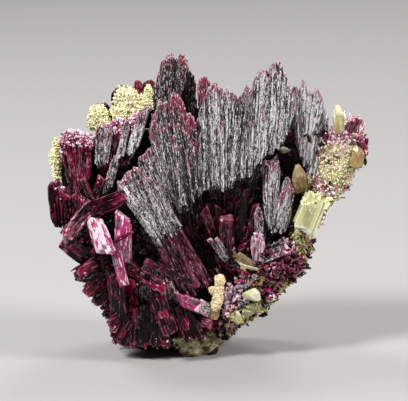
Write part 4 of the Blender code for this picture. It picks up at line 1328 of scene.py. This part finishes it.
def dress_nodes(finishes):
    """Every fan, prism, calcite crystal and crust, as the pieces that stand for its node."""
    nodes = {}
    for drawn in FANS + PRISMS + CRUSTS:
        nodes.setdefault(drawn.node, []).append(drawn)
    for number, (node, drawings) in enumerate(nodes.items()):
        rng, shapes = random.Random(SEED + number), {}
        for drawn in drawings:
            if isinstance(drawn, Lump):
                crust(shapes.setdefault("cream_crust", Shape()), drawn, rng)
                continue
            look = LOOKS[drawn.look]
            shape = shapes.setdefault(look.slot, Shape())
            if isinstance(drawn, Prism):
                dress_prism(shape, drawn, look, rng)
                continue
            for point in dress_fan(shape, drawn, look, rng):
                sugar = shapes.setdefault("pink_erythrite", Shape())
                size = rng.uniform(0.12, 0.36) * MM
                sugar.grain(point, size, rng, silver=rng.uniform(0.4, 2.0))
        for slot, shape in shapes.items():
            show(f"{node}.{slot.split('_')[0]}", shape, finishes[slot], [node])


def dress_rock(finishes):
    """The rock, the small crystals all over it, and the laths in its dish."""
    rng = random.Random(ROCK_SEED)
    points, ways, faces, heights = rock_skin()
    blush = np.array([ROCK_PARTS[part_of_rock(p, w)][0] for p, w in zip(points, ways)])
    rock = Shape()
    rock.lump(points, faces, heights, blush, 0.5)
    show("rock", rock, finishes["cream_rock"], ["matrix"])
    shapes = {slot: Shape() for slot in finishes if slot != "cream_rock"}
    rock_growth(points, ways, shapes, rng)
    throat_blades(shapes["wine_erythrite"], rng)
    standing_crystals(shapes, BVHTree.FromPolygons(points.tolist(), faces.tolist()), rng)
    for slot, shape in shapes.items():
        show(f"rock_{slot.split('_')[0]}", shape, finishes[slot], [])


def set_stage():
    """A plain pale floor, soft lights and the camera."""
    bm = bmesh.new()
    bmesh.ops.create_grid(bm, x_segments=1, y_segments=1, size=4)
    mesh = bpy.data.meshes.new("floor")
    bm.to_mesh(mesh)
    bm.free()
    mesh.materials.append(Paint("floor").finish(base_color=(0.34, 0.335, 0.33, 1), roughness=0.9))
    floor = put("floor", mesh)
    floor.location.z = -FLOOR_GAP
    world = bpy.data.worlds.new("studio")
    world.use_nodes = True
    sky = world.node_tree.nodes["Background"].inputs
    sky["Color"].default_value, sky["Strength"].default_value = (0.92, 0.94, 1, 1), 0.08
    scene = bpy.context.scene
    scene.world = world
    middle = spot(GRID_WIDTH / 2, GRID_HEIGHT / 2, 0)
    for name, offset, size, power in LAMPS:
        light = bpy.data.lights.new(name, "AREA")
        light.size, light.energy = size, power
        lamp = put(name, light)
        lamp.location = middle + Vector(offset)
        lamp.rotation_euler = (-Vector(offset)).to_track_quat("-Z", "Y").to_euler()
    camera = put("camera", bpy.data.cameras.new("camera"))
    back = Vector((0, -math.cos(VIEW_TILT), math.sin(VIEW_TILT)))
    camera.location = middle + back * VIEW_DISTANCE
    camera.rotation_euler = (math.pi / 2 - VIEW_TILT, 0, 0)
    camera.data.sensor_width = SENSOR_WIDTH
    camera.data.lens = SENSOR_WIDTH * VIEW_DISTANCE / (GRID_WIDTH * SQUARE)
    camera.data.clip_start = 0.01
    scene.camera = camera
    scene.view_settings.view_transform = "Standard"


makers = (silvery_erythrite, wine_erythrite, pink_erythrite, cream_crust, cream_rock, honey_calcite)
finishes = {maker.__name__: maker() for maker in makers}
dress_nodes(finishes)
dress_rock(finishes)
set_stage()
